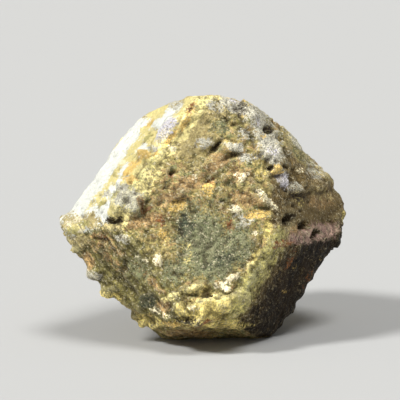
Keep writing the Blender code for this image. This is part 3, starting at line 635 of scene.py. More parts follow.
# Spots of stain: rise is how much of the stain there is, from 0 to 1.
SPOT_STAINS = {
    "moss": spots_on("best", (
        (2.8, 29.2, 1.2, 2, 15, 0.7),
        (4.8, 28, 1, 1.4, 0, 0.6),
        (13.1, 25.4, 2.3, 1, -50, 0.7),
        (-11.7, 19.2, 1.3, 0.8, 30, 0.7),
    )),
    "olive": spots_on("best", (
        (-17.7, 13.5, 0.9, 0.5, 0, 0.8),
        (-16, 14.5, 0.8, 0.4, 10, 0.8),
        (-10.3, 20.3, 0.8, 0.5, 40, 0.9),
        (-7.4, 26, 0.7, 0.4, 40, 0.8),
        (-11.6, 18.1, 0.8, 0.7, 20, 0.9),
        (-13.6, 17, 0.7, 0.5, 20, 0.9),
        (-8.7, 19.6, 0.5, 1.6, -30, 0.9),
        (-6.8, 22.2, 1.2, 0.4, 55, 0.8),
    )),
    "sand": spots_on("best", (
        (2.2, 29.8, 1.8, 1.2, 0, 0.8),
        (-17.9, 14.4, 2.3, 1.6, 0, 0.7),
        (-16.9, 12.4, 1.4, 1.1, -40, 0.8),
        (-1.2, 27.9, 2.7, 1.8, 50, 1),
        (-0.6, 25.1, 3, 1.4, 20, 0.9),
        (-2.7, 26, 1.9, 1.2, 50, 0.9),
        (12.1, 26.6, 2, 1.7, -45, 0.42),
        (14.5, 24.2, 1.7, 1.4, -50, 0.35),
        (16.8, 21.7, 1.4, 1.1, -50, 0.8),
        (-17.2, 11.6, 1.2, 0.8, -40, 0.9),
        (-15.2, 14.9, 1.3, 1.1, 0, 0.9),
        (-3.1, 24.3, 1.3, 1.1, 30, 0.8),
        (-12.7, 14.1, 2.1, 0.7, -5, 0.6),
        (-0.6, 22.6, 2.2, 0.8, 10, 0.5),
        (16.4, 18.5, 2, 0.8, -10, 0.5),
        (11.2, 27.4, 1.4, 0.8, -45, 0.5),
    )),
    # Most of these small white spots sit on crumbs and are painted highlights.
    "white": spots_on("best", (
        (-11.7, 21.4, 0.5, 0.5, 0, 1),
        (-13.4, 16.5, 0.5, 0.5, 0, 1),
        (-12.5, 18.4, 0.7, 1.1, 35, 0.8),
        (-7.3, 28.9, 0.8, 0.6, 45, 0.8),
    )),
    "straw": spots_on("best", (
        (-17.6, 13.6, 1.6, 1, 0, 0.6),
        (-7.9, 27.5, 1.6, 0.5, 50, 0.9),
        (-9.4, 25, 1.8, 0.5, 52, 0.9),
        (-10.9, 22.7, 1.8, 0.5, 55, 0.8),
        (-12.5, 20.4, 1.8, 0.5, 52, 0.8),
        (-13.9, 18.5, 1.6, 0.5, 48, 0.7),
        (-15.3, 16.8, 1.4, 0.5, 50, 0.6),
        (-6.2, 30, 1.9, 1.1, 30, 1),
        (-7.2, 26.3, 1.2, 1.6, 40, 1),
        (-9.3, 23.3, 1.1, 1.6, 40, 0.9),
        (-11.8, 20.3, 0.8, 1.2, 40, 0.9),
        (-13.7, 17.8, 1.1, 0.9, 30, 0.8),
        (2.6, 31.5, 1.6, 0.4, -20, 0.5),
        (-3.1, 29.3, 1.2, 0.7, 25, 0.7),
        (-0.8, 29.1, 1.2, 0.4, 20, 0.6),
        (-1, 5.8, 1.7, 0.5, 15, 0.9),
        (6.3, 8.8, 0.5, 0.9, -30, 0.7),
        (1.4, 4.6, 3.5, 0.5, 8, 0.7),
        (-4.4, 4.8, 1.1, 0.5, 20, 0.7),
    )),
    "ochre": spots_on("best", (
        (-1.4, 29.8, 1.4, 0.5, 50, 0.6),
        (12.6, 8.6, 0.5, 0.3, 60, 0.35),
        (16.2, 9.6, 0.4, 0.3, 20, 0.35),
        (11.2, 5.2, 0.4, 0.3, 40, 0.35),
        (-7.5, 28.3, 0.8, 0.4, 50, 0.7),
        (-9.7, 21.9, 0.9, 0.5, 45, 0.8),
        (-7.7, 23.4, 0.9, 0.6, 10, 1),
        (-9.8, 21.2, 2, 0.5, 43, 1),
        (-9.4, 19.9, 0.8, 0.6, 0, 0.9),
        (-6, 23.9, 0.9, 0.3, 40, 0.9),
        (-4.2, 25.8, 1.9, 0.3, 55, 0.8),
        (-2.3, 28, 1.6, 0.3, 55, 0.8),
        (9.7, 21.8, 0.6, 0.5, 0, 1),
        (10.5, 21, 0.5, 0.5, -30, 0.9),
        (-3.5, 16.9, 1.2, 0.7, 20, 0.9),
        (-5.2, 13.2, 0.8, 1.1, 0, 0.7),
        (0.7, 19.3, 0.7, 1.1, -20, 0.8),
        (7.4, 15.8, 1.9, 0.6, 8, 0.8),
        (7.8, 26, 0.4, 0.5, 0, 0.5),
        (-4, 1.3, 1.2, 0.5, 0, 0.8),
        (5.4, 31.1, 1.2, 0.4, -25, 0.35),
    )),
    "rust": spots_on("best", (
        (14.2, 6.9, 1.6, 0.4, 65, 0.3),
        (12.2, 9.9, 1.8, 0.4, 68, 0.3),
        (-8.3, 17, 0.4, 0.8, 10, 1),
        (-7.6, 16.4, 0.7, 0.3, 20, 0.7),
        (-1.5, 29.9, 1.1, 0.6, 45, 0.4),
        (-4.3, 21.1, 0.4, 0.4, 0, 0.9),
        (3.7, 14.4, 0.6, 1.1, 10, 0.7),
        (11, 11.8, 1.8, 0.6, 5, 0.6),
        (1.1, 20.1, 0.8, 0.5, 30, 0.5),
        (0, 1.7, 2.1, 0.4, 5, 0.7),
        (-13.5, 12.5, 0.9, 0.5, -15, 0.6),
        (-5.7, 14.9, 0.7, 1.1, 20, 0.5),
    )),
    "brown": spots_on("best", (
        (-7.3, 7.3, 3.2, 0.5, -47, 0.7),
        (-14.1, 11.8, 2.4, 1.2, -20, 0.5),
        (-12.1, 9.5, 2.7, 0.8, -45, 0.4),
        (1.9, 22.6, 2, 1.1, 30, 0.9),
        (4.8, 21.2, 1.9, 1.2, -20, 0.7),
        (-2, 19.9, 2.4, 1.1, 10, 0.8),
        (-4, 17.8, 2.1, 0.8, -10, 0.9),
        (-7.3, 15.2, 2.7, 0.9, 5, 0.9),
        (-10.3, 14.6, 2.1, 0.8, 0, 0.9),
        (-13.7, 12.5, 1.9, 0.9, -10, 0.6),
        (-11.6, 11.2, 2.1, 0.8, -25, 0.45),
        (6.1, 17.8, 2.4, 0.8, -15, 0.8),
        (-5.3, 3.6, 1.3, 0.9, -30, 0.9),
        (-15.6, 9.4, 0.8, 1.4, 30, 0.8),
        (-2, -0.4, 3.5, 0.5, 0, 1),
        (10, 28, 0.8, 1.2, 40, 0.7),
        (16.4, 17.8, 2, 1.4, 0, 0.6),
        (13.8, 13.4, 1.9, 1.1, 0, 0.8),
    )),
    "green": spots_on("best", (
        (-16.6, 14.2, 0.6, 0.4, 0, 0.6),
        (-15.5, 13.5, 0.7, 0.4, 0, 0.7),
        (-10, 17.2, 2.7, 1.6, 0, 0.7),
        (-0.1, 12.5, 3.4, 4.2, 10, 1),
        (1.2, 9.6, 3.2, 2.8, 0, 1),
        (4.6, 11.8, 2.2, 3, 0, 0.8),
        (-3.8, 8.3, 1.6, 2.1, -50, 0.7),
        (-8.7, 8.5, 1.9, 1.6, -40, 0.6),
        (-17.4, 11, 0.8, 0.8, 0, 0.7),
        (6.7, 7, 0.6, 2.1, -25, 0.8),
        (2.3, 27.6, 1.4, 1.1, 0, 0.6),
        (13.4, 24.9, 1.7, 2.8, 40, 0.4),
        (-11.3, 16, 0.7, 0.5, 0, 0.8),
        (-8.3, 20.5, 0.7, 1.6, -25, 0.7),
        (7.8, 27.6, 0.8, 1.4, -30, 0.3),
    )),
    "slate": spots_on("best", (
        (-2.3, 14.1, 1.2, 1.6, 0, 1),
        (0, 14.4, 0.7, 0.8, 0, 0.5),
        (3.1, 9.8, 1.6, 1.3, 0, 0.6),
        (-7.3, 4.2, 1.1, 1.2, -40, 0.9),
        (1, 8.8, 1.2, 0.8, 0, 0.5),
    )),
    "grey": spots_on("best", (
        (2, 30.4, 1.6, 0.9, -10, 0.6),
        (3.7, 30.8, 1.9, 0.8, -50, 0.8),
        (-13.1, 18.4, 0.7, 0.5, 20, 0.8),
        (-10, 17.6, 1.7, 1.6, 0, 1),
        (6, 29.1, 1.9, 0.7, -53, 1),
        (8.7, 24.6, 2.2, 1.2, -48, 1),
        (0.3, 25.3, 1.2, 0.8, 10, 0.65),
        (4.2, 24.7, 1.4, 0.7, -10, 0.8),
        (-6.4, 24.3, 0.7, 0.5, 0, 0.7),
        (-3.8, 30.7, 1, 0.8, 0, 0.7),
        (5.5, 26.5, 1.1, 0.7, -20, 0.6),
        (6.1, 23.3, 1.2, 0.8, 0, 0.6),
        (-14.7, 7.7, 1.1, 0.5, -25, 0.8),
        (-10.6, 12.5, 1.1, 0.5, -20, 0.7),
        (15.4, 21.8, 1.7, 1.1, -45, 0.5),
        (12.5, 19.2, 1.2, 0.8, -30, 0.6),
        (5.4, 14.9, 1.6, 1.1, 0, 0.5),
    )),
    "lilac": spots_on("best", (
        (4.3, 31.2, 1.1, 0.4, -50, 0.6),
        (-4.7, 27, 2, 0.8, 50, 0.85),
        (10.9, 20.3, 0.7, 1, 20, 1),
        (7, 28, 1.1, 0.5, -53, 0.5),
        (9.1, 23.8, 0.9, 0.7, -48, 0.4),
    )),
    "mauve": spots_on("best", (
        (15.7, 13.3, 2.8, 1.2, 8, 0.95),
        (13, 12.4, 1.6, 0.7, 0, 0.9),
        (14.3, 12.1, 1.2, 0.5, 0, 0.7),
        (11.6, 13, 1, 0.8, 0, 0.4),
    )),
    # Most of these cream spots sit on crumbs and lumps and are painted highlights.
    "cream": spots_on("best", (
        (-18.2, 14.3, 0.5, 0.4, 0, 0.6),
        (-17, 15.1, 0.7, 0.4, 20, 0.6),
        (-16.4, 13.5, 0.6, 0.3, 0, 0.6),
        (-17.6, 12.6, 0.6, 0.4, -30, 0.55),
        (-11, 22.8, 0.5, 0.5, 0, 0.61),
        (-8.9, 24.3, 0.5, 0.4, 0, 0.54),
        (-4.2, 24.6, 0.6, 0.5, 0, 0.61),
        (-6, 9.7, 0.6, 0.8, 0, 0.68),
        (-7.8, 9.7, 0.6, 0.2, -25, 0.68),
        (-8.9, 10.1, 0.4, 0.2, 0, 0.68),
        (3.9, 7.2, 1.1, 0.6, 30, 0.68),
        (3.2, 5.6, 0.6, 0.5, 0, 0.68),
        (2.2, 6.4, 0.9, 0.5, 0, 0.61),
        (5.6, 20.8, 0.9, 0.5, 35, 0.68),
        (4.5, 21.1, 0.4, 0.4, 0, 0.68),
        (2.4, 17.2, 0.5, 0.4, 0, 0.54),
        (4.4, 16.4, 0.9, 0.5, -10, 0.68),
        (8.5, 17.7, 2.1, 0.5, -39, 0.68),
        (-6.5, 2.8, 0.9, 0.4, -10, 0.61),
        (-4.4, 2.6, 1, 0.4, 0, 0.41),
        (-1.7, 3.4, 0.6, 0.6, 0, 0.61),
        (-5.1, 26, 0.5, 1.5, -40, 0.48),
        (7, 13.1, 0.4, 0.4, 0, 0.61),
        (-10.2, 12.4, 1, 0.4, -20, 0.41),
        (13.1, 21.7, 0.5, 0.4, 0, 0.54),
        (-1, 20.8, 0.6, 0.4, 30, 0.48),
    )),
    "yellow": spots_on("best", (
        (1.4, 3.6, 4.5, 1.3, 8, 1),
        (-7.4, 1.4, 2.4, 0.7, -8, 0.8),
        (4.8, 0.8, 1.9, 0.5, 5, 0.6),
        (8.8, 13.8, 0.6, 2.2, -6, 0.8),
        (7.1, 10.1, 0.5, 1.6, -28, 0.9),
        (-13.6, 5, 0.8, 0.8, 0, 1),
        (-11.7, 4.6, 1.1, 0.7, -40, 0.6),
        (-14.8, 17.8, 0.8, 0.8, 0, 0.6),
        (19.6, 15.5, 0.4, 0.7, 0, 0.5),
        (13.1, 17.8, 0.7, 1.6, 35, 0.3),
        (7.7, 21.1, 1.1, 0.8, 0, 0.6),
        (-2.2, 10.9, 0.8, 1.6, 0, 0.4),
    )),
    # Painted shade in the pits and crevices.
    "bark": spots_on("best", (
        (-12.2, 15, 1.1, 0.4, 5, 1),
        (12.9, 18.4, 1.5, 0.8, -20, 0.5),
        (8.6, 27.1, 0.7, 0.5, -30, 1),
        (12.1, 15.2, 0.7, 0.8, 0, 1),
        (14, 14.3, 0.6, 0.7, -30, 1),
        (15.9, 13.3, 0.6, 0.5, 0, 1),
        (15.3, 12.5, 0.4, 0.4, 0, 1),
        (1.7, 24.9, 0.9, 0.3, 45, 0.8),
        (4.2, 23.9, 0.8, 0.2, -5, 0.8),
        (9.1, 21.9, 0.4, 0.3, 0, 1),
        (10.8, 22.1, 0.5, 0.3, -20, 1),
        (5.2, 29.8, 1.2, 1.1, 0, 0.3),
        (-13.8, 12.3, 1.2, 0.4, -12, 0.5),
        (-2.2, 1.9, 2.7, 0.4, 3, 0.6),
        (0, 4.7, 1.1, 0.2, 18, 0.7),
    )),
}
# More stains, most of them wide ones on the sides and the back.
SIDE_STAINS = {
    "moss": (
        Spot("left", -6, 5, 6, 3.4, 0, 0.9),
        Spot("right", 12, 6, 6, 3.6, -10, 0.9),
    ),
    "brown": (
        Spot("back", 0, 17.5, 6.4, 2.4, 15, 1),
        Spot("back", -12.5, 11, 3, 4.4, 0, 0.9),
        Spot("back", 12, 12.5, 3.4, 3.8, 20, 0.9),
        Spot("left", -7, 15, 5, 2.4, -20, 0.9),
        Spot("right", 9, 20.5, 5, 2.2, -20, 0.9),
        Spot("right", 15, 11, 2.8, 4, 0, 0.8),
        Spot("top", -5, 11, 4, 3, 30, 0.8),
    ),
    "green": (
        Spot("back", -3, 10.5, 5.4, 3.8, 20, 1),
        Spot("back", 9, 19, 3.8, 3.2, -30, 0.9),
        Spot("left", -9, 8.5, 4, 3.2, 0, 0.9),
        Spot("right", 10, 14, 4, 4.6, 20, 1),
        Spot("top", 7, 8, 4, 2.6, -20, 0.7),
    ),
    "slate": (
        Spot("back", -4, 11.5, 2.6, 1.8, 0, 0.9),
        Spot("back", 9.5, 19.5, 1.6, 1.3, 0, 0.7),
        Spot("left", -9.5, 8, 1.8, 1.3, 0, 0.8),
        Spot("right", 10.5, 15, 1.9, 2.4, 0, 0.9),
    ),
    # Dark brown, partly painted shade, low on the right and the back.
    "umber": (
        Spot("right", -5, 5, 4.6, 4, 20, 0.8),
        Spot("right", 2, 2, 6, 1.8, 0, 0.9),
        Spot("back", -8, 3, 5, 1.8, 0, 0.7),
    ),
    "yellow": (
        Spot("back", 4, 3, 4.2, 1, 5, 0.8),
        Spot("back", -7, 7, 2.2, 0.9, -20, 0.8),
        Spot("left", -5, 3, 3.4, 0.9, 0, 0.8),
        Spot("right", 8, 7.5, 2.6, 0.9, 20, 0.8),
    ),
    "grey": (
        Spot("front", 8, 27.9, 5, 1.3, -59, 0.75),
        Spot("back", 4, 23.3, 5, 3.8, 35, 0.9),
        Spot("back", -7, 16.3, 3.6, 4.6, 10, 0.7),
        Spot("left", -6, 20.3, 3.2, 2.4, -35, 0.8),
        Spot("right", 8, 25.3, 3.4, 2.2, 20, 0.7),
        Spot("top", 0, 7, 4.2, 2.6, 20, 0.8),
    ),
    "straw": (
        Spot("back", 6, 9.3, 4.2, 2.2, -30, 0.8),
        Spot("back", 10.5, 25, 4, 1.6, 50, 0.9),
        Spot("right", 6, 11.3, 4.4, 2.4, -50, 0.7),
    ),
    "lilac": (
        Spot("back", 5.5, 24.2, 1.8, 1, 35, 0.9),
        Spot("right", 9, 25.6, 1.4, 0.8, 20, 0.6),
    ),
    "white": (
        Spot("back", 12.5, 20.5, 2.2, 4.6, 10, 0.8),
        Spot("back", 1, 26.6, 2.4, 0.9, 20, 0.8),
    ),
}

# Small marks scattered over the sides that look away from the front: how many there are of
# each, and the least and most of their half width.
Scatter = namedtuple("Scatter", "count smallest largest")
SCATTERED_STAINS = {
    "brown": Scatter(5, 0.6, 2.0),
    "green": Scatter(5, 0.6, 1.8),
    "mauve": Scatter(1, 0.6, 1.4),
    "yellow": Scatter(6, 0.4, 1.2),
    "grey": Scatter(4, 0.5, 1.5),
    "ochre": Scatter(4, 0.4, 1.3),
    "rust": Scatter(4, 0.3, 0.8),
    "cream": Scatter(16, 0.3, 0.8),
    "bark": Scatter(14, 0.2, 0.6),
}
CRUMB_SCATTER = Scatter(26, 0.4, 1.0)
CRUMB_RISE = (0.15, 0.4)  # mm
HOLE_SCATTER = Scatter(22, 0.2, 0.7)
HOLE_RISE = (-0.5, -0.2)  # mm
SCATTERED_SHARE = (0.6, 1.0)  # how much of a stain there is in a scattered mark
SCATTERED_SHAPE = (0.4, 1.0)  # the half height of a scattered place over its half width
# The least and most across and up of the scattered places on each side, in mm.
HIDDEN_PLACES = {
    "back": ((-18.0, 18.0), (1.0, 31.0)),
    "left": ((-16.0, -4.0), (2.0, 26.0)),
    "right": ((7.0, 18.0), (2.0, 28.0)),
    "top": ((-8.0, 10.0), (5.0, 15.0)),
}
# Each stain's one colour, from the lowest layer to the highest. They were set with the average
# colours of some areas of the photo at hand, and then moved until the render came close to them.
STAINS = {
    "drab": (98, 82, 49),
    "moss": (102, 95, 53),
    "brown": (142, 116, 76),
    "green": (72, 76, 46),
    "slate": (50, 56, 42),
    # Dark brown, partly painted shade on the faces turned away from the light.
    "umber": (27, 18, 8),
    "mauve": (150, 122, 110),
    "yellow": (196, 178, 106),
    # The whitish crust, and painted highlights in small spots.
    "white": (219, 220, 209),
    "sand": (170, 154, 104),
    "straw": (208, 194, 130),
    "grey": (194, 190, 172),
    "olive": (158, 150, 92),
    "ochre": (206, 174, 100),
    "rust": (130, 84, 48),
    "lilac": (206, 202, 208),
    # Pale cream flecks, and painted highlights on the front.
    "cream": (230, 218, 182),
    # Painted shade in the pits and crevices, and dark flecks on the hidden sides.
    "bark": (48, 38, 22),
}
# The level of mask and noise together at which a stain shows, and how softly it starts there.
TORN_LEVEL = 2.75
TORN_SOFTNESS = 0.15
SOFT_STAINS = {"umber": 0.6, "mauve": 0.5, "slate": 0.5, "green": 0.3, "olive": 0.5}
STAIN_RIM = (0.45, 1.5)  # where a spot of stain starts to fade and ends, as shares of its size
STAIN_RAGGEDNESS = 0.35  # how far its rim wanders, as a share of its size
STAIN_NOISE_SIZE = 1.3  # mm
FACE_RAGGEDNESS = 0.6  # how far the rim of a stain on a face wanders, as a share of a spot's
SMOOTH_RIM = (0.7, 1.4)  # where a smooth place starts to fade and ends, as shares of its size
WHITE_SMOOTHNESS = 0.8
SMOOTHING = 0.65  # how much of the fine relief a smooth place loses


def depth_below(points, plane):
    """How far below a plane of the crystal each point is, in mm."""
    direction, distance = plane
    return distance - (points - np.array(CENTRE)) @ np.array(direction)


def stain_masks(points, normals, planes):
    """How much of each stain there is at each point, 0 to 1."""
    ragged = STAIN_RAGGEDNESS * noise_at(points, STAIN_NOISE_SIZE, STAIN_PATTERN)
    masks = {}
    for name in STAINS:
        mask = np.zeros(len(points))
        for stain in FACE_STAINS:
            if stain.stain != name:
                continue
            below = depth_below(points, planes[stain.face]) + FACE_RAGGEDNESS * ragged
            share = 1.0 - smooth_step(stain.inner, stain.outer, below)
            if stain.near:
                beside = depth_below(points, planes[stain.near]) + ragged
                far = smooth_step(0.0, abs(stain.reach), beside)
                share *= 1.0 - far if stain.reach > 0 else far
            mask = np.maximum(mask, share)
        spots = SPOT_STAINS.get(name, ()) + SIDE_STAINS.get(name, ())
        if name in SCATTERED_STAINS:
            spots += scattered(SCATTERED_STAINS[name], SCATTERED_SHARE, name)
        for spot in spots:
            distance = spot_distance(spot, points, normals) + ragged
            mask = np.maximum(mask, spot.rise * (1.0 - smooth_step(*STAIN_RIM, distance)))
        masks[name] = mask
    return masks


def terraces(values, steps):
    """The values drawn to a staircase, which makes small flat places with sharp rims."""
    scaled = values * steps
    whole = np.floor(scaled)
    return (whole + smooth_step(*FLAKE_STEP, scaled - whole)) / steps


def smoothness(points, normals):
    """1 in the smooth places and 0 outside them, with ragged rims."""
    ragged = STAIN_RAGGEDNESS * noise_at(points, STAIN_NOISE_SIZE, STAIN_PATTERN)
    share = np.zeros(len(points))
    for spot in SMOOTH_PLACES:
        distance = spot_distance(spot, points, normals) + ragged
        share = np.maximum(share, spot.rise * (1.0 - smooth_step(*SMOOTH_RIM, distance)))
    return share


def fine_heights(points, normals, masks):
    """Flakes, grains, knobs and grit, less of them where the surface is smooth."""
    smooth = np.maximum(smoothness(points, normals), WHITE_SMOOTHNESS * masks["white"])
    patches = smooth_step(*PATCH_RANGE, noise_at(points, PATCH_SIZE, PATCH_PATTERN))
    flakes = terraces(noise_at(points, FLAKE_SIZE, FLAKE_PATTERN), FLAKE_STEPS)
    heights = FLAKE_HEIGHT * flakes
    for pattern, (size, height) in enumerate(GRAINS, start=GRAIN_PATTERN):
        nearest, following = cells_at(points, size, pattern)
        domes = 1.0 - smooth_step(0.0, GRAIN_FOOT, nearest)
        cracks = 1.0 - smooth_step(0.0, CRACK_WIDTH, following - nearest)
        share = LEAST_GRAIN + (1.0 - LEAST_GRAIN) * patches
        heights += height * (domes - CRACK_DEPTH * cracks) * share
        patches = 1.0 - patches
    nearest, _ = cells_at(points, KNOB_SIZE, KNOB_PATTERN)
    knobs = KNOB_RISE - smooth_step(0.0, KNOB_FOOT, nearest)
    heights += KNOB_HEIGHT * masks["yellow"] * knobs
    for pattern, (size, height) in enumerate(GRIT, start=GRIT_PATTERN):
        heights += height * noise_at(points, size, pattern)
    return heights * (1.0 - SMOOTHING * smooth)


def groove_heights(points, normals):
    """Fine grooves down the lower left face."""
    across, up, _ = side_view("best", points, normals)
    turn = math.radians(GROOVE_TURN)
    along = across * math.cos(turn) + up * math.sin(turn)
    over = up * math.cos(turn) - across * math.sin(turn)
    depth = points[:, 1] * GROOVE_CHANGE
    stretched = np.column_stack([along / GROOVE_LENGTH, over / GROOVE_WIDTH, depth])
    return GROOVE_HEIGHT * noise_at(stretched, 1.0, GROOVE_PATTERN)


def weather_surface(mesh, masks):
    """Moves the surface out and in along its normals by everything that roughens it."""
    points = read_points(mesh)
    normals = read_normals(mesh)
    heights = spot_heights(points, normals) + ledge_heights(points, normals)
    for pattern, (size, height) in enumerate(ROUGHNESS, start=ROUGH_PATTERN):
        heights += height * noise_at(points, size, pattern)
    heights += masks["moss"] * groove_heights(points, normals)
    write_points(mesh, points + normals * heights[:, None])
    points = read_points(mesh)
    heights = fine_heights(points, normals, masks)
    write_points(mesh, points + read_normals(mesh) * heights[:, None])


def cut_seat(mesh):
    """Presses what is below z = 0 flat."""
    points = read_points(mesh)
    points[:, 2] = np.maximum(points[:, 2], 0.0)
    write_points(mesh, points)


def fit_to_box(mesh, low, high):
    """Stretches the crystal by a hair, to fill the box exactly."""
    points = read_points(mesh)
    own_low, own_high = points.min(axis=0), points.max(axis=0)
    write_points(mesh, low + (points - own_low) * (high - low) / (own_high - own_low))


# ---- the material: sizes are in mm, and scales count the bumps in a mm ----
# The bare surface has two shades, and patches of two more. Each has its colour, and the noise
# values that it starts and is full at.
BARE_COLOUR = (136, 124, 74)
Shade = namedtuple("Shade", "colour start full")
PALE_SHADE = Shade((164, 147, 92), 0.38, 0.62)
PALE_SHADE_SCALE = 0.25
PATCH_SHADES = (Shade((138, 115, 76), 0.5, 0.6), Shade((112, 111, 70), 0.52, 0.62))
# Two noises tear the rims of the stains: their scales, and how much each one tears.
MIDDLE_SCALE, MIDDLE_TEAR = 1.0, 1.6
FINE_SCALE, FINE_TEAR = 3.4, 3.0
MASK_EDGE = (0.02, 0.3)  # the values of a mask between which a stain can start to show
# What lightens and darkens the colour: noise, and how dark and light it makes the surface.
Mottle = namedtuple("Mottle", "scale detail roughness darkest lightest")
MOTTLES = (
    Mottle(0.4, 3.0, 0.6, 0.7, 1.3),
    Mottle(1.0, 5.0, 0.7, 0.45, 1.55),
    Mottle(2.3, 4.0, 0.8, 0.45, 1.55),
)
MOTTLE_RANGE = (0.35, 0.65)
FIBRES = Mottle(4.2, 3.0, 0.8, 0.55, 1.45)  # on the green stain
FIBRE_RANGE = (0.38, 0.62)
# Streaks on a stain: which way they run, in degrees, and how dark and light they make it.
Streak = namedtuple("Streak", "stain turn darkest lightest")
STREAKS = (Streak("moss", 50.0, 0.5, 1.6), Streak("umber", -70.0, 0.5, 2.2))
STREAK_STRETCH = (5.0, 5.0, 0.55)  # mm
STREAK_RANGE = (0.36, 0.64)
# How much of the mottling and the specks a stain or a smooth place takes away.
CALMING = {"white": 0.75, "umber": 0.94}
SMOOTH_CALMING = 0.5
PALE_CALMING = 0.55
# Thin light lines: the scale of the noise that they follow, and how wide they are.
THREADS = ((1.1, 0.035), (2.0, 0.05))
NOISE_MIDDLE = 0.5
THREAD_DARK, THREAD_LIGHT = 0.9, 0.8
GREEN_THREADS = 0.62
SLATE_THREADS = -0.7
GREEN_THREAD_COLOUR = (196, 196, 152)
# Specks: the noise that they follow, the values that they start and are full at, how much they
# cover, and their colour.
Speck = namedtuple("Speck", "scale detail roughness start full share colour")
# The light specks are pale grains and painted glints.
PALE_SPECKS_AND_GLINTS = Speck(2.9, 3.0, 0.75, 0.58, 0.62, 0.75, (240, 228, 190))
DARK_SPECKS = Speck(3.1, 3.0, 0.75, 0.4, 0.37, 0.72, (54, 44, 20))
PEPPER = Speck(5.0, 2.0, 0.7, 0.47, 0.43, 0.72, (104, 98, 92))  # on grey and lilac
# Painted shade in the hollows: how much of it there is, and its colour.
HOLLOW_SHADE_SHARE, HOLLOW_SHADE_COLOUR = 0.6, (56, 44, 22)
PROUD_SHARE, PROUD_COLOUR = 0.15, (232, 220, 172)
SHINE = 0.22
ROUGHNESS_RANGE = (0.3, 0.7, 0.4, 0.85)  # the noise from and to, and the roughness from and to
BUMP_DEPTH = 0.0003  # m
MIDDLE_BUMP, SPECK_BUMP = 1.2, 0.12  # how high they stand against the fine noise


def linear(level):
    """A level of sRGB, 0 to 255, as light."""
    share = level / 255
    return share / 12.92 if share <= 0.04045 else ((share + 0.055) / 1.055) ** 2.4


def colour(red, green, blue):
    return (linear(red), linear(green), linear(blue), 1.0)


class Nodes:
    """Adds nodes to a material or a world, and joins each one's inputs as it is made."""

    def __init__(self, owner, shader="Principled BSDF"):
        owner.use_nodes = True
        self.tree = owner.node_tree
        self.shader = self.tree.nodes[shader]

    def add(self, kind, inputs, output=0, **settings):
        node = self.tree.nodes.new(kind)
        for name, value in settings.items():
            setattr(node, name, value)
        for socket, value in inputs.items():
            self.join(value, node.inputs[socket])
        return node.outputs[output]

    def join(self, value, socket):
        if isinstance(value, bpy.types.NodeSocket):
            self.tree.links.new(value, socket)
        else:
            socket.default_value = value

    def math(self, operation, first, second=0.0, third=0.0):
        inputs = {0: first, 1: second, 2: third}
        return self.add("ShaderNodeMath", inputs, operation=operation)

    def times(self, first, second):
        return self.math("MULTIPLY", first, second)

    def less(self, share, amount):
        """1 less the amount of a share."""
        return self.math("MULTIPLY_ADD", share, -amount, 1.0)

    def eased(self, factor, share):
        """The factor where the share is 1, and 1 where it is 0."""
        return self.math("MULTIPLY_ADD", self.math("SUBTRACT", factor, 1.0), share, 1.0)

    def scaled(self, vector, factor):
        inputs = {"Vector": vector, "Scale": factor}
        return self.add("ShaderNodeVectorMath", inputs, operation="SCALE")

    def mask(self, name):
        return self.add("ShaderNodeAttribute", {}, "Fac", attribute_name=name)

    def noise(self, place, scale, detail=3.0, roughness=0.6):
        inputs = {"Vector": place, "Scale": scale, "Detail": detail, "Roughness": roughness}
        return self.add("ShaderNodeTexNoise", inputs)

    def noise_channels(self, place, scale, detail=4.0, roughness=0.65):
        """A noise, and three more that don't look alike."""
        level = self.noise(place, scale, detail, roughness)
        split = self.add("ShaderNodeSeparateColor", {"Color": level.node.outputs["Color"]})
        return level, split.node.outputs

    def span(self, value, low, high, first=0.0, last=1.0, curve="LINEAR"):
        """The value carried from low..high to first..last."""
        inputs = {"Value": value, "From Min": low, "From Max": high, "To Min": first, "To Max": last}
        return self.add("ShaderNodeMapRange", inputs, interpolation_type=curve)

    def step(self, value, low, high, first=0.0, last=1.0):
        return self.span(value, low, high, first, last, "SMOOTHSTEP")

    def mix(self, share, first, second):
        """Two colours mixed. A Mix node's sockets 6 and 7 take them, and its output 2 gives one."""
        inputs = {0: share, 6: first, 7: second}
        return self.add("ShaderNodeMix", inputs, 2, data_type="RGBA")

    def painted(self, base, share, amount, levels):
        """The base with that much of a colour over it."""
        return self.mix(self.times(share, amount), base, colour(*levels))


def bare_colour(nodes, place, channels):
    """The colour where no stain lies."""
    share = nodes.step(nodes.noise(place, PALE_SHADE_SCALE), PALE_SHADE.start, PALE_SHADE.full)
    base = nodes.mix(share, colour(*BARE_COLOUR), colour(*PALE_SHADE.colour))
    for channel, shade in zip(channels, PATCH_SHADES):
        share = nodes.step(channel, shade.start, shade.full)
        base = nodes.mix(share, base, colour(*shade.colour))
    return base


def stained(nodes, middle_channels, fine_channels, base):
    """The base colour under each stain in turn, and how much of each stain shows."""
    shares = {}
    for number, (name, levels) in enumerate(STAINS.items()):
        mask = nodes.mask(name)
        torn = nodes.math("MULTIPLY_ADD", middle_channels[number % 3], MIDDLE_TEAR, mask)
        torn = nodes.math("MULTIPLY_ADD", fine_channels[(number + 1) % 3], FINE_TEAR, torn)
        softness = SOFT_STAINS.get(name, TORN_SOFTNESS)
        share = nodes.step(torn, TORN_LEVEL - softness, TORN_LEVEL + softness)
        shares[name] = nodes.times(share, nodes.step(mask, *MASK_EDGE))
        base = nodes.mix(shares[name], base, colour(*levels))
    shares["umber"] = nodes.times(shares["umber"], nodes.less(shares["mauve"], 1.0))
    return base, shares


def calmness(nodes, shares):
    """How much of the mottling and the specks there is, from 0 to 1."""
    calm = nodes.less(nodes.mask("smooth"), SMOOTH_CALMING)
    for name, amount in CALMING.items():
        calm = nodes.times(calm, nodes.less(shares[name], amount))
    return calm


def mottled(nodes, place, mottle, span):
    level = nodes.noise(place, mottle.scale, mottle.detail, mottle.roughness)
    return nodes.span(level, *span, mottle.darkest, mottle.lightest)


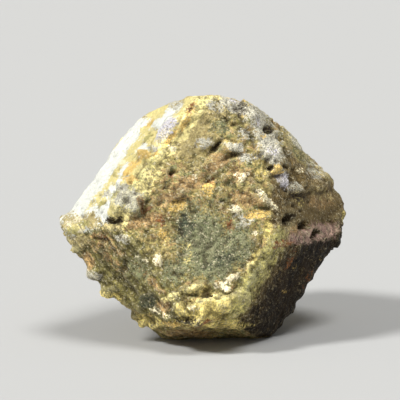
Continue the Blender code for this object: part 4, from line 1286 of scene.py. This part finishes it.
def brightness(nodes, place, calm, shares):
    """How light or dark the colour is made at each place by its grain and its streaks."""
    value = 1.0
    for mottle in MOTTLES:
        value = nodes.times(value, mottled(nodes, place, mottle, MOTTLE_RANGE))
    value = nodes.eased(value, calm)
    fibres = mottled(nodes, place, FIBRES, FIBRE_RANGE)
    value = nodes.times(value, nodes.eased(fibres, shares["green"]))
    for streak in STREAKS:
        turn = (0, math.radians(streak.turn), 0)
        inputs = {"Vector": place, "Rotation": turn, "Scale": STREAK_STRETCH}
        along = nodes.add("ShaderNodeMapping", inputs, vector_type="TEXTURE")
        level = nodes.noise(along, 1.0)
        level = nodes.span(level, *STREAK_RANGE, streak.darkest, streak.lightest)
        value = nodes.times(value, nodes.eased(level, shares[streak.stain]))
    return value


def threads(nodes, place):
    """Thin light lines that wander and cross, 1 on a line."""
    found = 0.0
    for scale, width in THREADS:
        _, channels = nodes.noise_channels(place, scale)
        for channel in channels[:2]:
            off = nodes.math("ABSOLUTE", nodes.math("SUBTRACT", channel, NOISE_MIDDLE))
            found = nodes.math("MAXIMUM", found, nodes.step(off, width, 0.0))
    return found


def specks(nodes, place, speck, where):
    """How much of the specks there is, only where that is 1."""
    level = nodes.noise(place, speck.scale, speck.detail, speck.roughness)
    return nodes.times(nodes.step(level, speck.start, speck.full), where)


def crystal_material():
    material = bpy.data.materials.new("weathered_garnet")
    nodes = Nodes(material)
    place = nodes.scaled(nodes.add("ShaderNodeTexCoord", {}, "Object"), 1 / MM)
    middle, middle_channels = nodes.noise_channels(place, MIDDLE_SCALE)
    fine, fine_channels = nodes.noise_channels(place, FINE_SCALE)
    base = bare_colour(nodes, place, middle_channels)
    base, shares = stained(nodes, middle_channels, fine_channels, base)

    calm = calmness(nodes, shares)
    pale = nodes.math("MAXIMUM", shares["grey"], shares["lilac"])
    even = nodes.times(calm, nodes.less(pale, PALE_CALMING))
    base = nodes.scaled(base, brightness(nodes, place, even, shares))

    thread = nodes.times(nodes.times(threads(nodes, place), calm), THREAD_LIGHT)
    base = nodes.scaled(base, nodes.math("ADD", thread, THREAD_DARK))
    green = nodes.math("MULTIPLY_ADD", shares["slate"], SLATE_THREADS, shares["green"])
    base = nodes.painted(base, nodes.times(thread, green), GREEN_THREADS, GREEN_THREAD_COLOUR)

    # Pale grains and painted glints.
    light = specks(nodes, place, PALE_SPECKS_AND_GLINTS, calm)
    dark = specks(nodes, place, DARK_SPECKS, calm)
    pepper = specks(nodes, place, PEPPER, pale)
    for share, speck in ((light, PALE_SPECKS_AND_GLINTS), (dark, DARK_SPECKS), (pepper, PEPPER)):
        base = nodes.painted(base, share, speck.share, speck.colour)
    # Painted shade darkens the hollows.
    base = nodes.painted(base, nodes.mask("hollow_shade"), HOLLOW_SHADE_SHARE, HOLLOW_SHADE_COLOUR)
    base = nodes.painted(base, nodes.times(nodes.mask("proud"), calm), PROUD_SHARE, PROUD_COLOUR)

    shader = nodes.shader.inputs
    nodes.join(base, shader["Base Color"])
    shader["Specular IOR Level"].default_value = SHINE
    nodes.join(nodes.span(fine, *ROUGHNESS_RANGE), shader["Roughness"])
    height = nodes.math("MULTIPLY_ADD", middle, MIDDLE_BUMP, fine)
    height = nodes.math("MULTIPLY_ADD", nodes.times(light, calm), SPECK_BUMP, height)
    bump = nodes.add("ShaderNodeBump", {"Height": height, "Distance": BUMP_DEPTH, "Strength": 1.0})
    nodes.join(bump, shader["Normal"])
    return material


# A hollow or proud place is one that moves this far, in mm, when the surface is drawn in. Painted
# shade darkens the hollows.
HOLLOW_ROUNDS = 12
HOLLOW_RANGE = (0.015, 0.10)


def store(mesh, name, values):
    layer = mesh.attributes.new(name, "FLOAT", "POINT")
    layer.data.foreach_set("value", values.astype(np.float32))


def make_crystal():
    solid, planes = cut_crystal()
    mesh = evenly_meshed(solid)
    wear_edges(mesh)
    masks = stain_masks(read_points(mesh), read_normals(mesh), planes)
    weather_surface(mesh, masks)
    points = read_points(mesh)
    below = ((relaxed(mesh, points, HOLLOW_ROUNDS) - points) * read_normals(mesh)).sum(axis=1)
    masks["smooth"] = smoothness(points, read_normals(mesh))
    masks["hollow_shade"] = smooth_step(*HOLLOW_RANGE, below)
    masks["proud"] = smooth_step(*HOLLOW_RANGE, -below)
    cut_seat(mesh)
    low, high = (np.array(corner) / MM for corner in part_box(NODE))
    fit_to_box(mesh, low, high)
    write_points(mesh, read_points(mesh) * MM)
    for name, values in masks.items():
        store(mesh, name, values)
    mesh.shade_smooth()
    mesh.materials.append(crystal_material())
    crystal = bpy.data.objects.new(PIECE, mesh)
    bpy.context.scene.collection.objects.link(crystal)
    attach(crystal, "root")
    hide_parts(NODE)


# ---- floor, lights and camera ----
PIXELS_PER_MM = 7.18
IMAGE_SIDE = 400  # pixels
SENSOR = 36.0  # mm
CAMERA_DISTANCE = 0.352  # m, as are the next three
CAMERA_SHIFT_UP = 0.00373
CAMERA_SHIFT_LEFT = 0.00054
CAMERA_CENTRE = Vector((-0.0001, -0.0007, 0.0144))
FLOOR_RADIUS = 3.0  # m
FLOOR_SIDES = 96
FLOOR_COLOUR = (0.42, 0.42, 0.41, 1)
FLOOR_ROUGHNESS = 0.8
SKY_COLOUR = (0.95, 0.94, 0.92, 1)
SKY_LIGHT = 0.29
HORIZON_LIGHT = 0.84
SKY_FADE = 0.2  # the height, as a share of the sky's, at which the horizon's light has faded
# Each light: which way it shines, how wide it is in degrees, and its strength in W/m2.
LIGHTS = {
    "key": ((0.78, 0.30, -0.846), 12.0, 3.4),
    "top": ((-0.24, 0.24, -1.15), 24.0, 2.1),
}


def make_floor():
    floor_mesh = bpy.data.meshes.new("floor")
    disc = bmesh.new()
    bmesh.ops.create_circle(disc, cap_ends=True, radius=FLOOR_RADIUS, segments=FLOOR_SIDES)
    disc.to_mesh(floor_mesh)
    disc.free()
    material = bpy.data.materials.new("pale_floor")
    shader = Nodes(material).shader.inputs
    shader["Base Color"].default_value = FLOOR_COLOUR
    shader["Roughness"].default_value = FLOOR_ROUGHNESS
    floor_mesh.materials.append(material)
    floor = bpy.data.objects.new("floor", floor_mesh)
    bpy.context.scene.collection.objects.link(floor)


def make_far_light(name, direction, width, strength):
    """A light so far off that it falls alike on the crystal and on all of the floor."""
    lamp = bpy.data.lights.new(name, "SUN")
    lamp.angle = math.radians(width)
    lamp.energy = strength
    light = bpy.data.objects.new(name, lamp)
    light.rotation_euler = Vector(direction).to_track_quat("-Z", "Y").to_euler()
    bpy.context.scene.collection.objects.link(light)


def make_world():
    """A soft grey sky, which is as light as the floor where the two meet."""
    world = bpy.data.worlds.new("studio")
    bpy.context.scene.world = world
    nodes = Nodes(world, "Background")
    nodes.shader.inputs["Color"].default_value = SKY_COLOUR
    direction = nodes.add("ShaderNodeTexCoord", {}, "Generated")
    height = nodes.add("ShaderNodeSeparateXYZ", {"Vector": direction}, "Z")
    light = nodes.step(height, 0.0, SKY_FADE, HORIZON_LIGHT, SKY_LIGHT)
    nodes.join(light, nodes.shader.inputs["Strength"])


def make_camera():
    lens = bpy.data.cameras.new("camera")
    lens.sensor_width = SENSOR
    lens.lens = SENSOR * CAMERA_DISTANCE / (IMAGE_SIDE / PIXELS_PER_MM * MM)
    camera = bpy.data.objects.new("camera", lens)
    up = SIDES["best"][1]
    forward = -SIDES["best"][2]
    aim = CAMERA_CENTRE + up * CAMERA_SHIFT_UP - Vector((CAMERA_SHIFT_LEFT, 0, 0))
    camera.location = aim - forward * CAMERA_DISTANCE
    camera.rotation_euler = forward.to_track_quat("-Z", "Y").to_euler()
    bpy.context.scene.collection.objects.link(camera)
    bpy.context.scene.camera = camera


make_camera()
make_floor()
make_world()
for light_name, light_values in LIGHTS.items():
    make_far_light(light_name, *light_values)
make_crystal()
bpy.context.scene.view_settings.view_transform = "Standard"
